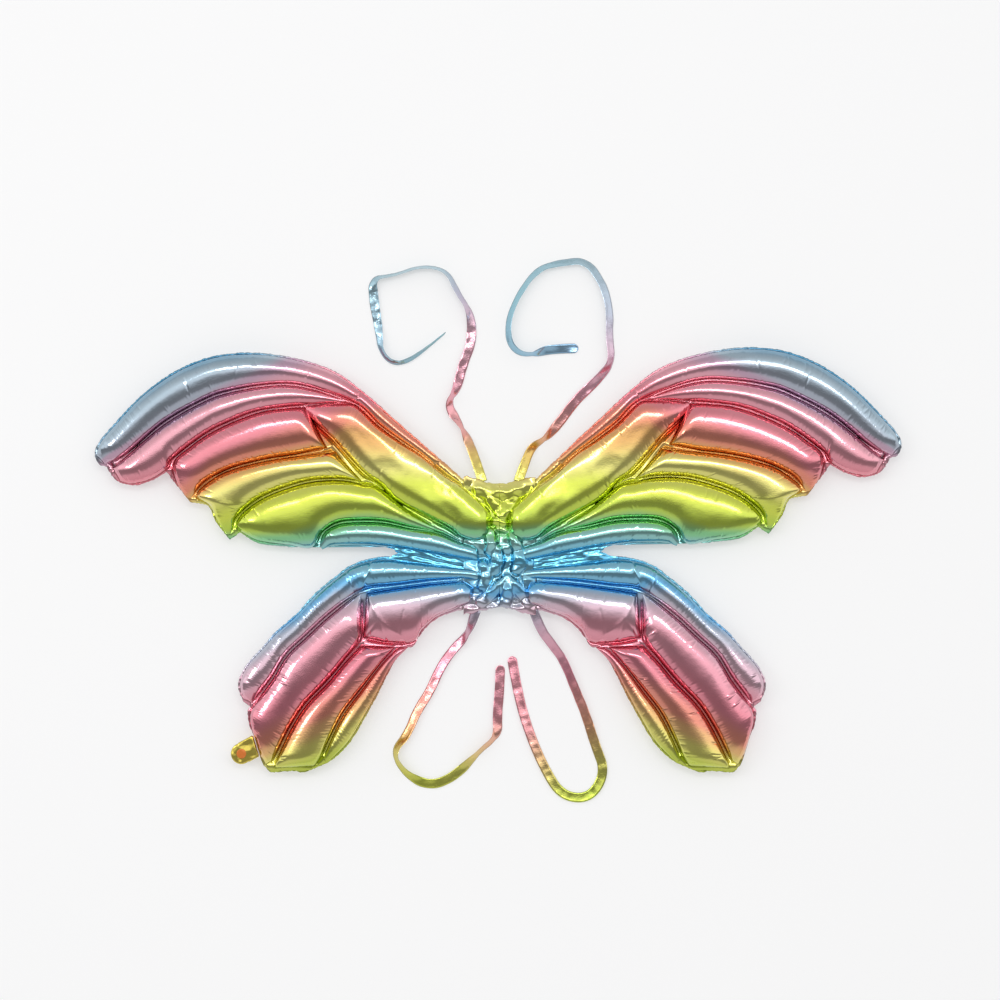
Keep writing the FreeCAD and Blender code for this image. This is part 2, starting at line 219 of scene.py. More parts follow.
# Film outlines, as stretches between corners; each stretch is one smooth curve.
UPPER_OUTLINE: list[Line] = [
    [(44, 98), (64, 116), (127, 171), (169, 208), (206, 234), (252, 249), (303, 256), (352, 252),
     (397, 235), (439, 206), (473, 171), (493, 147), (499, 133), (494, 121), (485, 118)],
    [(485, 118), (473, 101), (453, 95), (432, 100), (411, 112)],
    [(411, 112), (399, 96), (381, 74)],
    [(381, 74), (359, 69), (349, 49), (333, 28)],
    [(333, 28), (321, 37)],
    [(321, 37), (296, 23), (261, 19), (224, 11)],
    [(224, 11), (217, 17), (194, 18), (171, 18), (143, 16), (116, 12), (76, 5), (46, 0)],
    [(46, 0), (44, 98)],
]
LOWER_OUTLINE: list[Line] = [
    [(46, -7), (74, -4), (111, 1), (146, 4), (180, -5), (203, -21), (227, -41), (251, -67),
     (275, -88), (291, -106), (310, -127), (320, -145), (321, -158), (315, -173), (306, -179)],
    [(306, -179), (310, -187), (308, -201), (304, -215), (296, -241), (289, -253), (282, -260)],
    [(282, -260), (253, -258), (244, -260), (222, -252), (203, -241), (185, -222), (168, -194),
     (151, -163), (133, -127), (117, -106)],
    [(117, -106), (108, -105)],
    [(108, -105), (95, -85), (78, -70), (59, -62), (46, -59)],
    [(46, -59), (46, -7)],
]
CELLS = {Lobe.UPPER: UPPER_CELLS, Lobe.LOWER: LOWER_CELLS}
OUTLINES = {Lobe.UPPER: UPPER_OUTLINE, Lobe.LOWER: LOWER_OUTLINE}


@dataclass(frozen=True)
class WingPlacement:
    """How the pattern of the left wing lies on either side of the body, in mm."""

    hinge_out: float = 40.0
    right_turn: float = math.radians(1.4)   # the right upper wing lies turned up by this much
    right_lower_shift: float = 6.0          # the right lower wing reaches further out by this much
    shift_from: float = 45.0
    shift_over: float = 60.0

    def place(self, out: np.ndarray, up: np.ndarray, side: Side, lobe: Lobe) -> np.ndarray:
        """Puts pattern points on a side of the body.

        Args:
            out: Distances out from the middle, mm.
            up: Heights up the back, mm.
            side: The wing that the points belong to.
            lobe: Upper or lower wing.

        Returns:
            An array of x and y in mm, one row a point.
        """
        if side is Side.LEFT:
            return np.column_stack([-out, up])
        if lobe is Lobe.LOWER:
            reach = np.clip((out - self.shift_from) / self.shift_over, 0.0, 1.0)
            return np.column_stack([out + self.right_lower_shift * reach, up])
        dx = out - self.hinge_out
        fade = np.clip(dx / self.shift_over, 0.0, 1.0)
        turned_x = self.hinge_out + dx * math.cos(self.right_turn) - up * math.sin(self.right_turn) * fade
        turned_y = up * math.cos(self.right_turn) + np.maximum(dx, 0.0) * math.sin(self.right_turn)
        return np.column_stack([turned_x, turned_y])


PLACEMENT = WingPlacement()


def smooth_line(points: Line, count: int) -> tuple[np.ndarray, float]:
    """Runs a Catmull-Rom curve through points and spaces stations evenly along it.

    Args:
        points: The points that the curve goes through.
        count: How many stations to return.

    Returns:
        The stations as an array of rows, and the curve's length.
    """
    given = np.array(points, float)
    ends = np.vstack([2 * given[0] - given[1], given, 2 * given[-1] - given[-2]])
    runs = []
    step = np.linspace(0, 1, 20, endpoint=False)[:, None]
    for a, b, c, d in zip(ends, ends[1:], ends[2:], ends[3:]):
        runs.append(0.5 * (2 * b + (c - a) * step + (2 * a - 5 * b + 4 * c - d) * step**2
                           + (3 * b - a - 3 * c + d) * step**3))
    curve = np.vstack(runs + [given[-1][None]])
    travelled = np.concatenate([[0.0], np.cumsum(np.linalg.norm(np.diff(curve, axis=0), axis=1))])
    stations = np.linspace(0.0, travelled[-1], count)
    columns = [np.interp(stations, travelled, curve[:, axis]) for axis in range(curve.shape[1])]
    return np.column_stack(columns), float(travelled[-1])


# ---------------------------------------------------------------- print


def linear(hex_colour: str) -> np.ndarray:
    """Turns an sRGB hex colour into linear light.

    Args:
        hex_colour: A colour such as "#E7A2AE".

    Returns:
        Three linear values from 0 to 1.
    """
    digits = hex_colour.lstrip("#")
    srgb = np.array([int(digits[i:i + 2], 16) / 255 for i in (0, 2, 4)])
    return np.where(srgb <= 0.04045, srgb / 12.92, ((srgb + 0.055) / 1.055) ** 2.4)


@dataclass(frozen=True)
class InkBand:
    """The line, as (out, up) in mm, along which the print has exactly this ink colour."""

    ink: str
    line: Line


@dataclass(frozen=True)
class RainbowPrint:
    """The transparent rainbow print over the aluminium, in bands from top to bottom."""

    upper: tuple[InkBand, ...] = (
        InkBand("#3E8CB0", [(0, 400), (200, 330), (260, 272), (300, 265), (352, 257), (397, 241), (439, 212),
                            (473, 178), (499, 152)]),
        InkBand("#A3B6C3", [(0, 370), (200, 290), (260, 252), (300, 246), (352, 239), (397, 222), (439, 192),
                            (473, 160), (499, 136)]),
        InkBand("#A9AFBD", [(0, 360), (230, 280), (280, 248), (345, 220), (413, 181), (470, 142),
                            (499, 124)]),
        InkBand("#BE9DB2", [(0, 350), (220, 262), (280, 236), (340, 210), (413, 170), (485, 127),
                            (499, 116)]),
        InkBand("#E2A2AF", [(0, 320), (180, 240), (240, 226), (300, 214), (340, 197), (413, 156), (485, 108),
                            (499, 100)]),
        InkBand("#DF8490", [(0, 160), (122, 200), (187, 200), (240, 186), (293, 161), (353, 136), (386, 110),
                            (430, 88)]),
        InkBand("#E18A72", [(0, 114), (55, 122), (122, 158), (148, 178), (187, 176), (227, 152), (293, 138),
                            (353, 115), (386, 87), (420, 80)]),
        InkBand("#E2AE68", [(0, 104), (55, 108), (122, 144), (160, 150), (187, 156), (227, 137), (293, 122),
                            (353, 99), (386, 75)]),
        InkBand("#E3DB7C", [(0, 94), (55, 99), (111, 121), (148, 116), (200, 114), (247, 112), (321, 88),
                            (347, 82), (386, 62)]),
        InkBand("#CFD94E", [(0, 78), (55, 86), (90, 94), (160, 88), (200, 82), (259, 70), (327, 58),
                            (350, 50)]),
        InkBand("#BDD34C", [(0, 47), (55, 52), (98, 58), (160, 66), (200, 62), (259, 40), (327, 40)]),
        InkBand("#84C68C", [(0, 33), (55, 38), (98, 41), (175, 50), (234, 30), (300, 26)]),
        InkBand("#8FC4C0", [(0, 20), (55, 26), (98, 31), (148, 33), (185, 30), (234, 18), (300, 12)]),
        InkBand("#7FBFD2", [(0, 8), (31, 10), (55, 14), (98, 20), (148, 21), (220, 6), (300, -5)]),
        InkBand("#5FB4D8", [(0, -4), (31, -1), (55, 4), (98, 9), (148, 14), (220, 0), (300, -12)]),
    )
    lower: tuple[InkBand, ...] = (
        InkBand("#5FB4D8", [(0, 12), (98, 8), (148, 9), (180, 2), (203, -14), (227, -34), (251, -52),
                            (275, -62), (320, -80)]),
        InkBand("#83B9CE", [(0, -26), (60, -14), (98, -10), (148, -10), (180, -10), (203, -22), (227, -42),
                            (251, -62), (275, -72), (320, -92)]),
        InkBand("#68AEDA", [(0, -42), (60, -28), (98, -30), (150, -36), (166, -36), (180, -19), (203, -29),
                            (227, -49), (251, -70), (275, -80), (320, -102)]),
        InkBand("#B3B6C4", [(0, -58), (60, -40), (98, -42), (150, -48), (172, -46), (203, -44), (227, -62),
                            (251, -84), (275, -98), (320, -127)]),
        InkBand("#D6B4C2", [(0, -70), (60, -58), (120, -58), (172, -60), (203, -60), (227, -76), (251, -100),
                            (275, -116), (320, -147)]),
        InkBand("#E39BAA", [(0, -82), (60, -74), (120, -76), (180, -84), (227, -108), (260, -140),
                            (320, -182)]),
        InkBand("#DF8594", [(0, -110), (150, -118), (200, -138), (260, -174), (320, -212)]),
        InkBand("#E08C78", [(140, -142), (154, -150), (201, -180), (300, -226)]),
        InkBand("#E2B176", [(140, -158), (201, -196), (300, -240)]),
        InkBand("#DDD570", [(141, -186), (201, -218), (287, -250)]),
        InkBand("#BCC84C", [(150, -218), (222, -246), (287, -264)]),
    )
    strength: float = 0.97  # the ink is transparent, so some bare aluminium shows through it

    def at(self, out: np.ndarray, up: np.ndarray, lobe: Lobe) -> np.ndarray:
        """Looks the print up at pattern points.

        Args:
            out: Distances out from the middle, mm.
            up: Heights up the back, mm.
            lobe: Upper or lower wing.

        Returns:
            Linear RGBA, one row a point.
        """
        bands = self.upper if lobe is Lobe.UPPER else self.lower
        levels = np.array([np.interp(out, *np.array(band.line, float).T) for band in bands])
        inks = np.array([linear(band.ink) for band in bands])
        colour = np.tile(inks[0], (len(out), 1))
        for index in range(1, len(bands)):
            span = np.maximum(levels[index - 1] - levels[index], 1e-3)
            share = np.clip((levels[index - 1] - up) / span, 0.0, 1.0)
            share = (share * share * (3 - 2 * share))[:, None]
            colour = np.where(share > 0, inks[index - 1] * (1 - share) + inks[index] * share, colour)
        grey = colour.mean(axis=1, keepdims=True)
        colour = grey + (colour - grey) * self.strength
        return np.column_stack([colour, np.ones(len(out))])


PRINT = RainbowPrint()
PRINT_ATTRIBUTE = "print"
SEAM_MAP = "seam_map"   # UV map of the cells: metres along the seam, and metres in from it


# ---------------------------------------------------------------- finishes


def add_node(tree: bpy.types.NodeTree, kind: str, settings: dict | None = None,
             links: dict | None = None) -> bpy.types.Node:
    """Adds a node to a tree with its settings and what is linked into it.

    Args:
        tree: The node tree.
        kind: The node's type, such as "ShaderNodeBump".
        settings: Values by the name of a property, or of an input socket.
        links: Output sockets by the name or number of the input that they feed.

    Returns:
        The new node.
    """
    node = tree.nodes.new(kind)
    for name, value in (settings or {}).items():
        if name in node.inputs:
            node.inputs[name].default_value = value
        else:
            setattr(node, name, value)
    for name, output in (links or {}).items():
        tree.links.new(output, node.inputs[name])
    return node


def blank_material(name: str) -> tuple[bpy.types.Material, bpy.types.NodeTree]:
    """Makes a material whose tree is empty.

    Args:
        name: The material's name.

    Returns:
        The material and its node tree.
    """
    material = bpy.data.materials.new(name)
    material.use_nodes = True
    material.node_tree.nodes.clear()
    return material, material.node_tree


@dataclass(frozen=True)
class MetallisedFilm:
    """Polyester film with a vapour-coated aluminium layer under transparent ink.

    It mirrors its surroundings in the colour of the ink, with a clear gloss on top. The film is
    12 to 30 microns thick, so it shows dents and hairline creases a few millimetres apart.
    """

    name: str
    roughness: tuple[float, float] = (0.09, 0.17)
    dent_mm: float = 9.0          # distance between soft dents
    dent_depth_mm: float = 0.10
    crease_mm: float = 2.6        # distance between fine creases
    crease_depth_mm: float = 0.02
    gloss_coat: float = 0.5
    ink: str | None = None        # one ink all over, or the print attribute
    pleat_mm: float = 0.0         # distance between hairline pleats along a seam, 0 for none
    pleat_reach_mm: float = 19.0  # how far they run in from the seam
    pleat_depth_mm: float = 0.34

    def make(self) -> bpy.types.Material:
        """Builds the material.

        Returns:
            The finished material.
        """
        material, tree = blank_material(self.name)
        place = add_node(tree, "ShaderNodeTexCoord").outputs["Object"]
        dents = add_node(tree, "ShaderNodeTexNoise",
                         {"Scale": 1 / (self.dent_mm * MM), "Detail": 2.0, "Roughness": 0.45},
                         {"Vector": place}).outputs[0]
        warp = add_node(tree, "ShaderNodeTexNoise", {"Scale": 1 / (6 * MM), "Detail": 1.0},
                        {"Vector": place}).outputs["Color"]
        bent = add_node(tree, "ShaderNodeVectorMath", {"operation": "MULTIPLY_ADD"}, {0: warp, 2: place})
        bent.inputs[1].default_value = (2.0 * MM, 2.0 * MM, 2.0 * MM)
        creases = add_node(tree, "ShaderNodeTexVoronoi",
                           {"feature": "DISTANCE_TO_EDGE", "Scale": 1 / (self.crease_mm * MM)},
                           {"Vector": bent.outputs[0]}).outputs["Distance"]
        folded = add_node(tree, "ShaderNodeMapRange", {"From Max": 0.22, "To Min": 0.0, "To Max": 1.0},
                          {"Value": creases}).outputs[0]
        fine = add_node(tree, "ShaderNodeBump", {"Distance": self.crease_depth_mm * MM, "Strength": 0.8},
                        {"Height": folded}).outputs[0]
        relief = add_node(tree, "ShaderNodeBump", {"Distance": self.dent_depth_mm * MM, "Strength": 1.0},
                          {"Height": dents, "Normal": fine}).outputs[0]
        if self.pleat_mm:
            relief = self.pleats(tree, relief)
        haze = add_node(tree, "ShaderNodeTexNoise", {"Scale": 1 / (22 * MM), "Detail": 3.0},
                        {"Vector": place}).outputs[0]
        low, high = self.roughness
        rough = add_node(tree, "ShaderNodeMapRange",
                         {"From Min": 0.3, "From Max": 0.7, "To Min": low, "To Max": high},
                         {"Value": haze}).outputs[0]
        shader = add_node(tree, "ShaderNodeBsdfPrincipled",
                          {"Metallic": 1.0, "Coat Weight": self.gloss_coat, "Coat Roughness": 0.06},
                          {"Roughness": rough, "Normal": relief})
        if self.ink is None:
            ink = add_node(tree, "ShaderNodeAttribute", {"attribute_name": PRINT_ATTRIBUTE}).outputs["Color"]
            tree.links.new(ink, shader.inputs["Base Color"])
        else:
            shader.inputs["Base Color"].default_value = (*linear(self.ink), 1.0)
        add_node(tree, "ShaderNodeOutputMaterial", links={"Surface": shader.outputs[0]})
        return material

    def pleats(self, tree: bpy.types.NodeTree, normal: bpy.types.NodeSocket) -> bpy.types.NodeSocket:
        """Adds hairline pleats across each seam, in patches, where the welded film had to shorten.

        Args:
            tree: The material's node tree.
            normal: The normal that the pleats are added to.

        Returns:
            The pleated normal.
        """
        seam_map = add_node(tree, "ShaderNodeUVMap", {"uv_map": SEAM_MAP}).outputs[0]
        stretched = add_node(tree, "ShaderNodeMapping", {
            "Scale": (1 / (self.pleat_mm * MM), 1 / (self.pleat_mm * 9 * MM), 1.0)}, {"Vector": seam_map})
        lines = add_node(tree, "ShaderNodeTexNoise", {"Scale": 1.0, "Detail": 0.0},
                         {"Vector": stretched.outputs[0]})
        wide = add_node(tree, "ShaderNodeMapping", {
            "Scale": (1 / (38 * MM), 1 / (60 * MM), 1.0)}, {"Vector": seam_map})
        patches = add_node(tree, "ShaderNodeTexNoise", {"Scale": 1.0, "Detail": 0.0},
                           {"Vector": wide.outputs[0]})
        patch = add_node(tree, "ShaderNodeMapRange", {"From Min": 0.44, "From Max": 0.60},
                         {"Value": patches.outputs[0]})
        apart = add_node(tree, "ShaderNodeSeparateXYZ", links={"Vector": seam_map})
        fade = add_node(tree, "ShaderNodeMapRange", {
            "From Min": self.pleat_reach_mm * 0.5 * MM, "From Max": self.pleat_reach_mm * MM, "To Min": 1.0,
            "To Max": 0.0}, {"Value": apart.outputs["Y"]})
        clear = add_node(tree, "ShaderNodeMapRange", {"From Min": 3.0 * MM, "From Max": 7.0 * MM},
                         {"Value": apart.outputs["Y"]})
        inside = add_node(tree, "ShaderNodeMath", {"operation": "MULTIPLY"},
                          {0: clear.outputs[0], 1: fade.outputs[0]})
        shown = add_node(tree, "ShaderNodeMath", {"operation": "MULTIPLY"},
                         {0: patch.outputs[0], 1: inside.outputs[0]})
        height = add_node(tree, "ShaderNodeMath", {"operation": "MULTIPLY"},
                          {0: lines.outputs[0], 1: shown.outputs[0]})
        return add_node(tree, "ShaderNodeBump", {"Distance": self.pleat_depth_mm * MM, "Strength": 1.0},
                        {"Height": height.outputs[0], "Normal": normal}).outputs[0]


@dataclass(frozen=True)
class ClearFilm:
    """Milky polyethylene valve film: soft, slightly cloudy and satin."""

    name: str = "polyethylene_valve_film_extruded"
    body: str = "#DDE0DA"
    haze: str = "#C6CAC2"

    def make(self) -> bpy.types.Material:
        """Builds the material.

        Returns:
            The finished material.
        """
        material, tree = blank_material(self.name)
        place = add_node(tree, "ShaderNodeTexCoord").outputs["Object"]
        cloud = add_node(tree, "ShaderNodeTexNoise", {"Scale": 1 / (3 * MM), "Detail": 3.0},
                         {"Vector": place})
        tone = add_node(tree, "ShaderNodeMix", {"data_type": "RGBA"}, {"Factor": cloud.outputs[0]})
        tone_colours = [socket for socket in tone.inputs if socket.type == "RGBA"]
        tone_colours[0].default_value = (*linear(self.body), 1.0)
        tone_colours[1].default_value = (*linear(self.haze), 1.0)
        relief = add_node(tree, "ShaderNodeBump", {"Distance": 0.05 * MM}, {"Height": cloud.outputs[0]})
        shader = add_node(tree, "ShaderNodeBsdfPrincipled", {"Roughness": 0.38, "IOR": 1.51},
                          {"Base Color": [s for s in tone.outputs if s.type == "RGBA"][0],
                           "Normal": relief.outputs[0]})
        add_node(tree, "ShaderNodeOutputMaterial", links={"Surface": shader.outputs[0]})
        return material


@dataclass(frozen=True)
class MatInk:
    """Opaque orange printing ink on film: satin, with a faint mottle where it was laid on."""

    name: str = "orange_ink_printed"
    ink: str = "#E0692A"
    thin: str = "#D98A3C"

    def make(self) -> bpy.types.Material:
        """Builds the material.

        Returns:
            The finished material.
        """
        material, tree = blank_material(self.name)
        place = add_node(tree, "ShaderNodeTexCoord").outputs["Object"]
        mottle = add_node(tree, "ShaderNodeTexNoise", {"Scale": 1 / (1.6 * MM), "Detail": 4.0},
                          {"Vector": place})
        tone = add_node(tree, "ShaderNodeMix", {"data_type": "RGBA"}, {"Factor": mottle.outputs[0]})
        colours = [socket for socket in tone.inputs if socket.type == "RGBA"]
        colours[0].default_value = (*linear(self.ink), 1.0)
        colours[1].default_value = (*linear(self.thin), 1.0)
        relief = add_node(tree, "ShaderNodeBump", {"Distance": 0.03 * MM}, {"Height": mottle.outputs[0]})
        shader = add_node(tree, "ShaderNodeBsdfPrincipled", {"Roughness": 0.32, "Metallic": 0.25},
                          {"Base Color": [s for s in tone.outputs if s.type == "RGBA"][0],
                           "Normal": relief.outputs[0]})
        add_node(tree, "ShaderNodeOutputMaterial", links={"Surface": shader.outputs[0]})
        return material


@dataclass
class Finishes:
    """Every finish of the object, made once."""

    blown: bpy.types.Material = field(
        default_factory=MetallisedFilm("metallised_polyester_film_blown_tight", pleat_mm=2.4).make)
    welded: bpy.types.Material = field(
        default_factory=MetallisedFilm("metallised_polyester_film_heat_welded", (0.12, 0.22), 12.0, 0.12, 4.0,
                                       0.012, 0.4).make)
    gathered: bpy.types.Material = field(
        default_factory=MetallisedFilm("metallised_polyester_film_crumpled", (0.08, 0.16), 9.0, 0.30, 7.0,
                                       0.05, 0.5).make)
    ribbon: bpy.types.Material = field(
        default_factory=MetallisedFilm("metallised_polyester_film_slit_ribbon", (0.14, 0.26), 6.0, 0.16, 3.0,
                                       0.05, 0.4).make)
    valve: bpy.types.Material = field(default_factory=ClearFilm().make)
    mark: bpy.types.Material = field(default_factory=MatInk().make)


# ---------------------------------------------------------------- mesh helpers


def make_object(name: str, points: np.ndarray, faces: list, material: bpy.types.Material) -> bpy.types.Object:
    """Makes a mesh object in the scene, shaded smooth.

    Args:
        name: The object's name.
        points: Vertex places in metres.
        faces: Vertex numbers of each face.
        material: Its material.

    Returns:
        The new object, at the origin.
    """
    mesh = bpy.data.meshes.new(name)
    mesh.from_pydata(points.tolist(), [], faces)
    mesh.materials.append(material)
    mesh.shade_smooth()
    obj = bpy.data.objects.new(name, mesh)
    bpy.context.scene.collection.objects.link(obj)
    return obj


def paint(obj: bpy.types.Object, colours: np.ndarray) -> None:
    """Writes the print onto a mesh, one linear RGBA a vertex.

    Args:
        obj: The mesh object.
        colours: Linear RGBA rows.
    """
    layer = obj.data.color_attributes.new(PRINT_ATTRIBUTE, "FLOAT_COLOR", "POINT")
    layer.data.foreach_set("color", colours.astype(np.float32).ravel())


def map_seams(obj: bpy.types.Object, along: np.ndarray, inward: np.ndarray) -> None:
    """Writes the UV map that the hairline pleats follow.

    Args:
        obj: The mesh object.
        along: Place along the seam of each vertex, mm.
        inward: Distance in from the seam of each vertex, mm.
    """
    layer = obj.data.uv_layers.new(name=SEAM_MAP)
    corners = np.empty(len(obj.data.loops), int)
    obj.data.loops.foreach_get("vertex_index", corners)
    layer.uv.foreach_set("vector",
                         (np.column_stack([along, inward])[corners] * MM).astype(np.float32).ravel())


def coordinates(mesh: bpy.types.Mesh) -> np.ndarray:
    """Reads a mesh's vertex places.

    Args:
        mesh: The mesh to read.

    Returns:
        One row of three coordinates for each vertex.
    """
    flat = np.empty(len(mesh.vertices) * 3)
    mesh.vertices.foreach_get("co", flat)
    return flat.reshape(-1, 3)


def put_coordinates(mesh: bpy.types.Mesh, points: np.ndarray) -> None:
    """Writes a mesh's vertex places from rows."""
    mesh.vertices.foreach_set("co", points.ravel())
    mesh.update()


def apply_modifiers(obj: bpy.types.Object) -> None:
    """Applies all of an object's modifiers in their order.

    Args:
        obj: The object whose modifiers are applied.
    """
    bpy.ops.object.select_all(action="DESELECT")
    obj.select_set(True)
    bpy.context.view_layer.objects.active = obj
    for modifier in list(obj.modifiers):
        bpy.ops.object.modifier_apply(modifier=modifier.name)
    obj.select_set(False)


def face_outwards(obj: bpy.types.Object) -> None:
    """Turns a closed mesh's faces outwards.

    Args:
        obj: The closed mesh object.
    """
    work = bmesh.new()
    work.from_mesh(obj.data)
    bmesh.ops.recalc_face_normals(work, faces=work.faces)
    work.to_mesh(obj.data)
    work.free()


def thicken(obj: bpy.types.Object, thickness_mm: float) -> None:
    """Gives an open sheet its thickness, half to each face.

    Args:
        obj: The sheet's object.
        thickness_mm: The thickness, mm.
    """
    solidify = obj.modifiers.new("thickness", "SOLIDIFY")
    solidify.thickness = thickness_mm * MM
    solidify.offset = 0.0
    solidify.use_even_offset = False
    apply_modifiers(obj)


def crumple(x: np.ndarray, y: np.ndarray, seed: int, size: float, depth: float, folds: int = 7) -> np.ndarray:
    """Relief of crumpled foil: flat facets between bent folds in many directions.

    Args:
        x: Places in mm.
        y: Places in mm.
        seed: Picks the folds.
        size: Distance between folds in mm.
        depth: Rise of the relief in mm.
        folds: How many sets of folds cross.

    Returns:
        Heights in mm about a mean near 0.
    """
    rng = np.random.default_rng(seed)
    relief = np.zeros_like(x, dtype=float)
    weight = 0.0
    for _ in range(folds):
        angle = rng.uniform(0, math.pi)
        length = size * rng.uniform(0.6, 1.9)
        along = x * math.cos(angle) + y * math.sin(angle)
        beside = y * math.cos(angle) - x * math.sin(angle)
        bend = rng.uniform(0.1, 0.35) * np.sin(beside / (length * 0.9) + rng.uniform(0, 6))
        run = along / length + rng.uniform(0, 1) + bend
        relief += (np.abs(run % 1.0 * 2 - 1) - 0.5) * length
        weight += length
    return relief / weight * depth * 2


# ---------------------------------------------------------------- air cells


@dataclass
class CellSkin:
    """The blown skin of one cell in pattern millimetres: out, up and height above the seam plane."""

    pattern: CellPattern
    points: np.ndarray
    faces: list
    along: np.ndarray     # mm from the root, for each point
    across: np.ndarray    # 0 at the outer seam, 1 at the inner seam
    width: np.ndarray     # the cell's width there, mm
    length: float


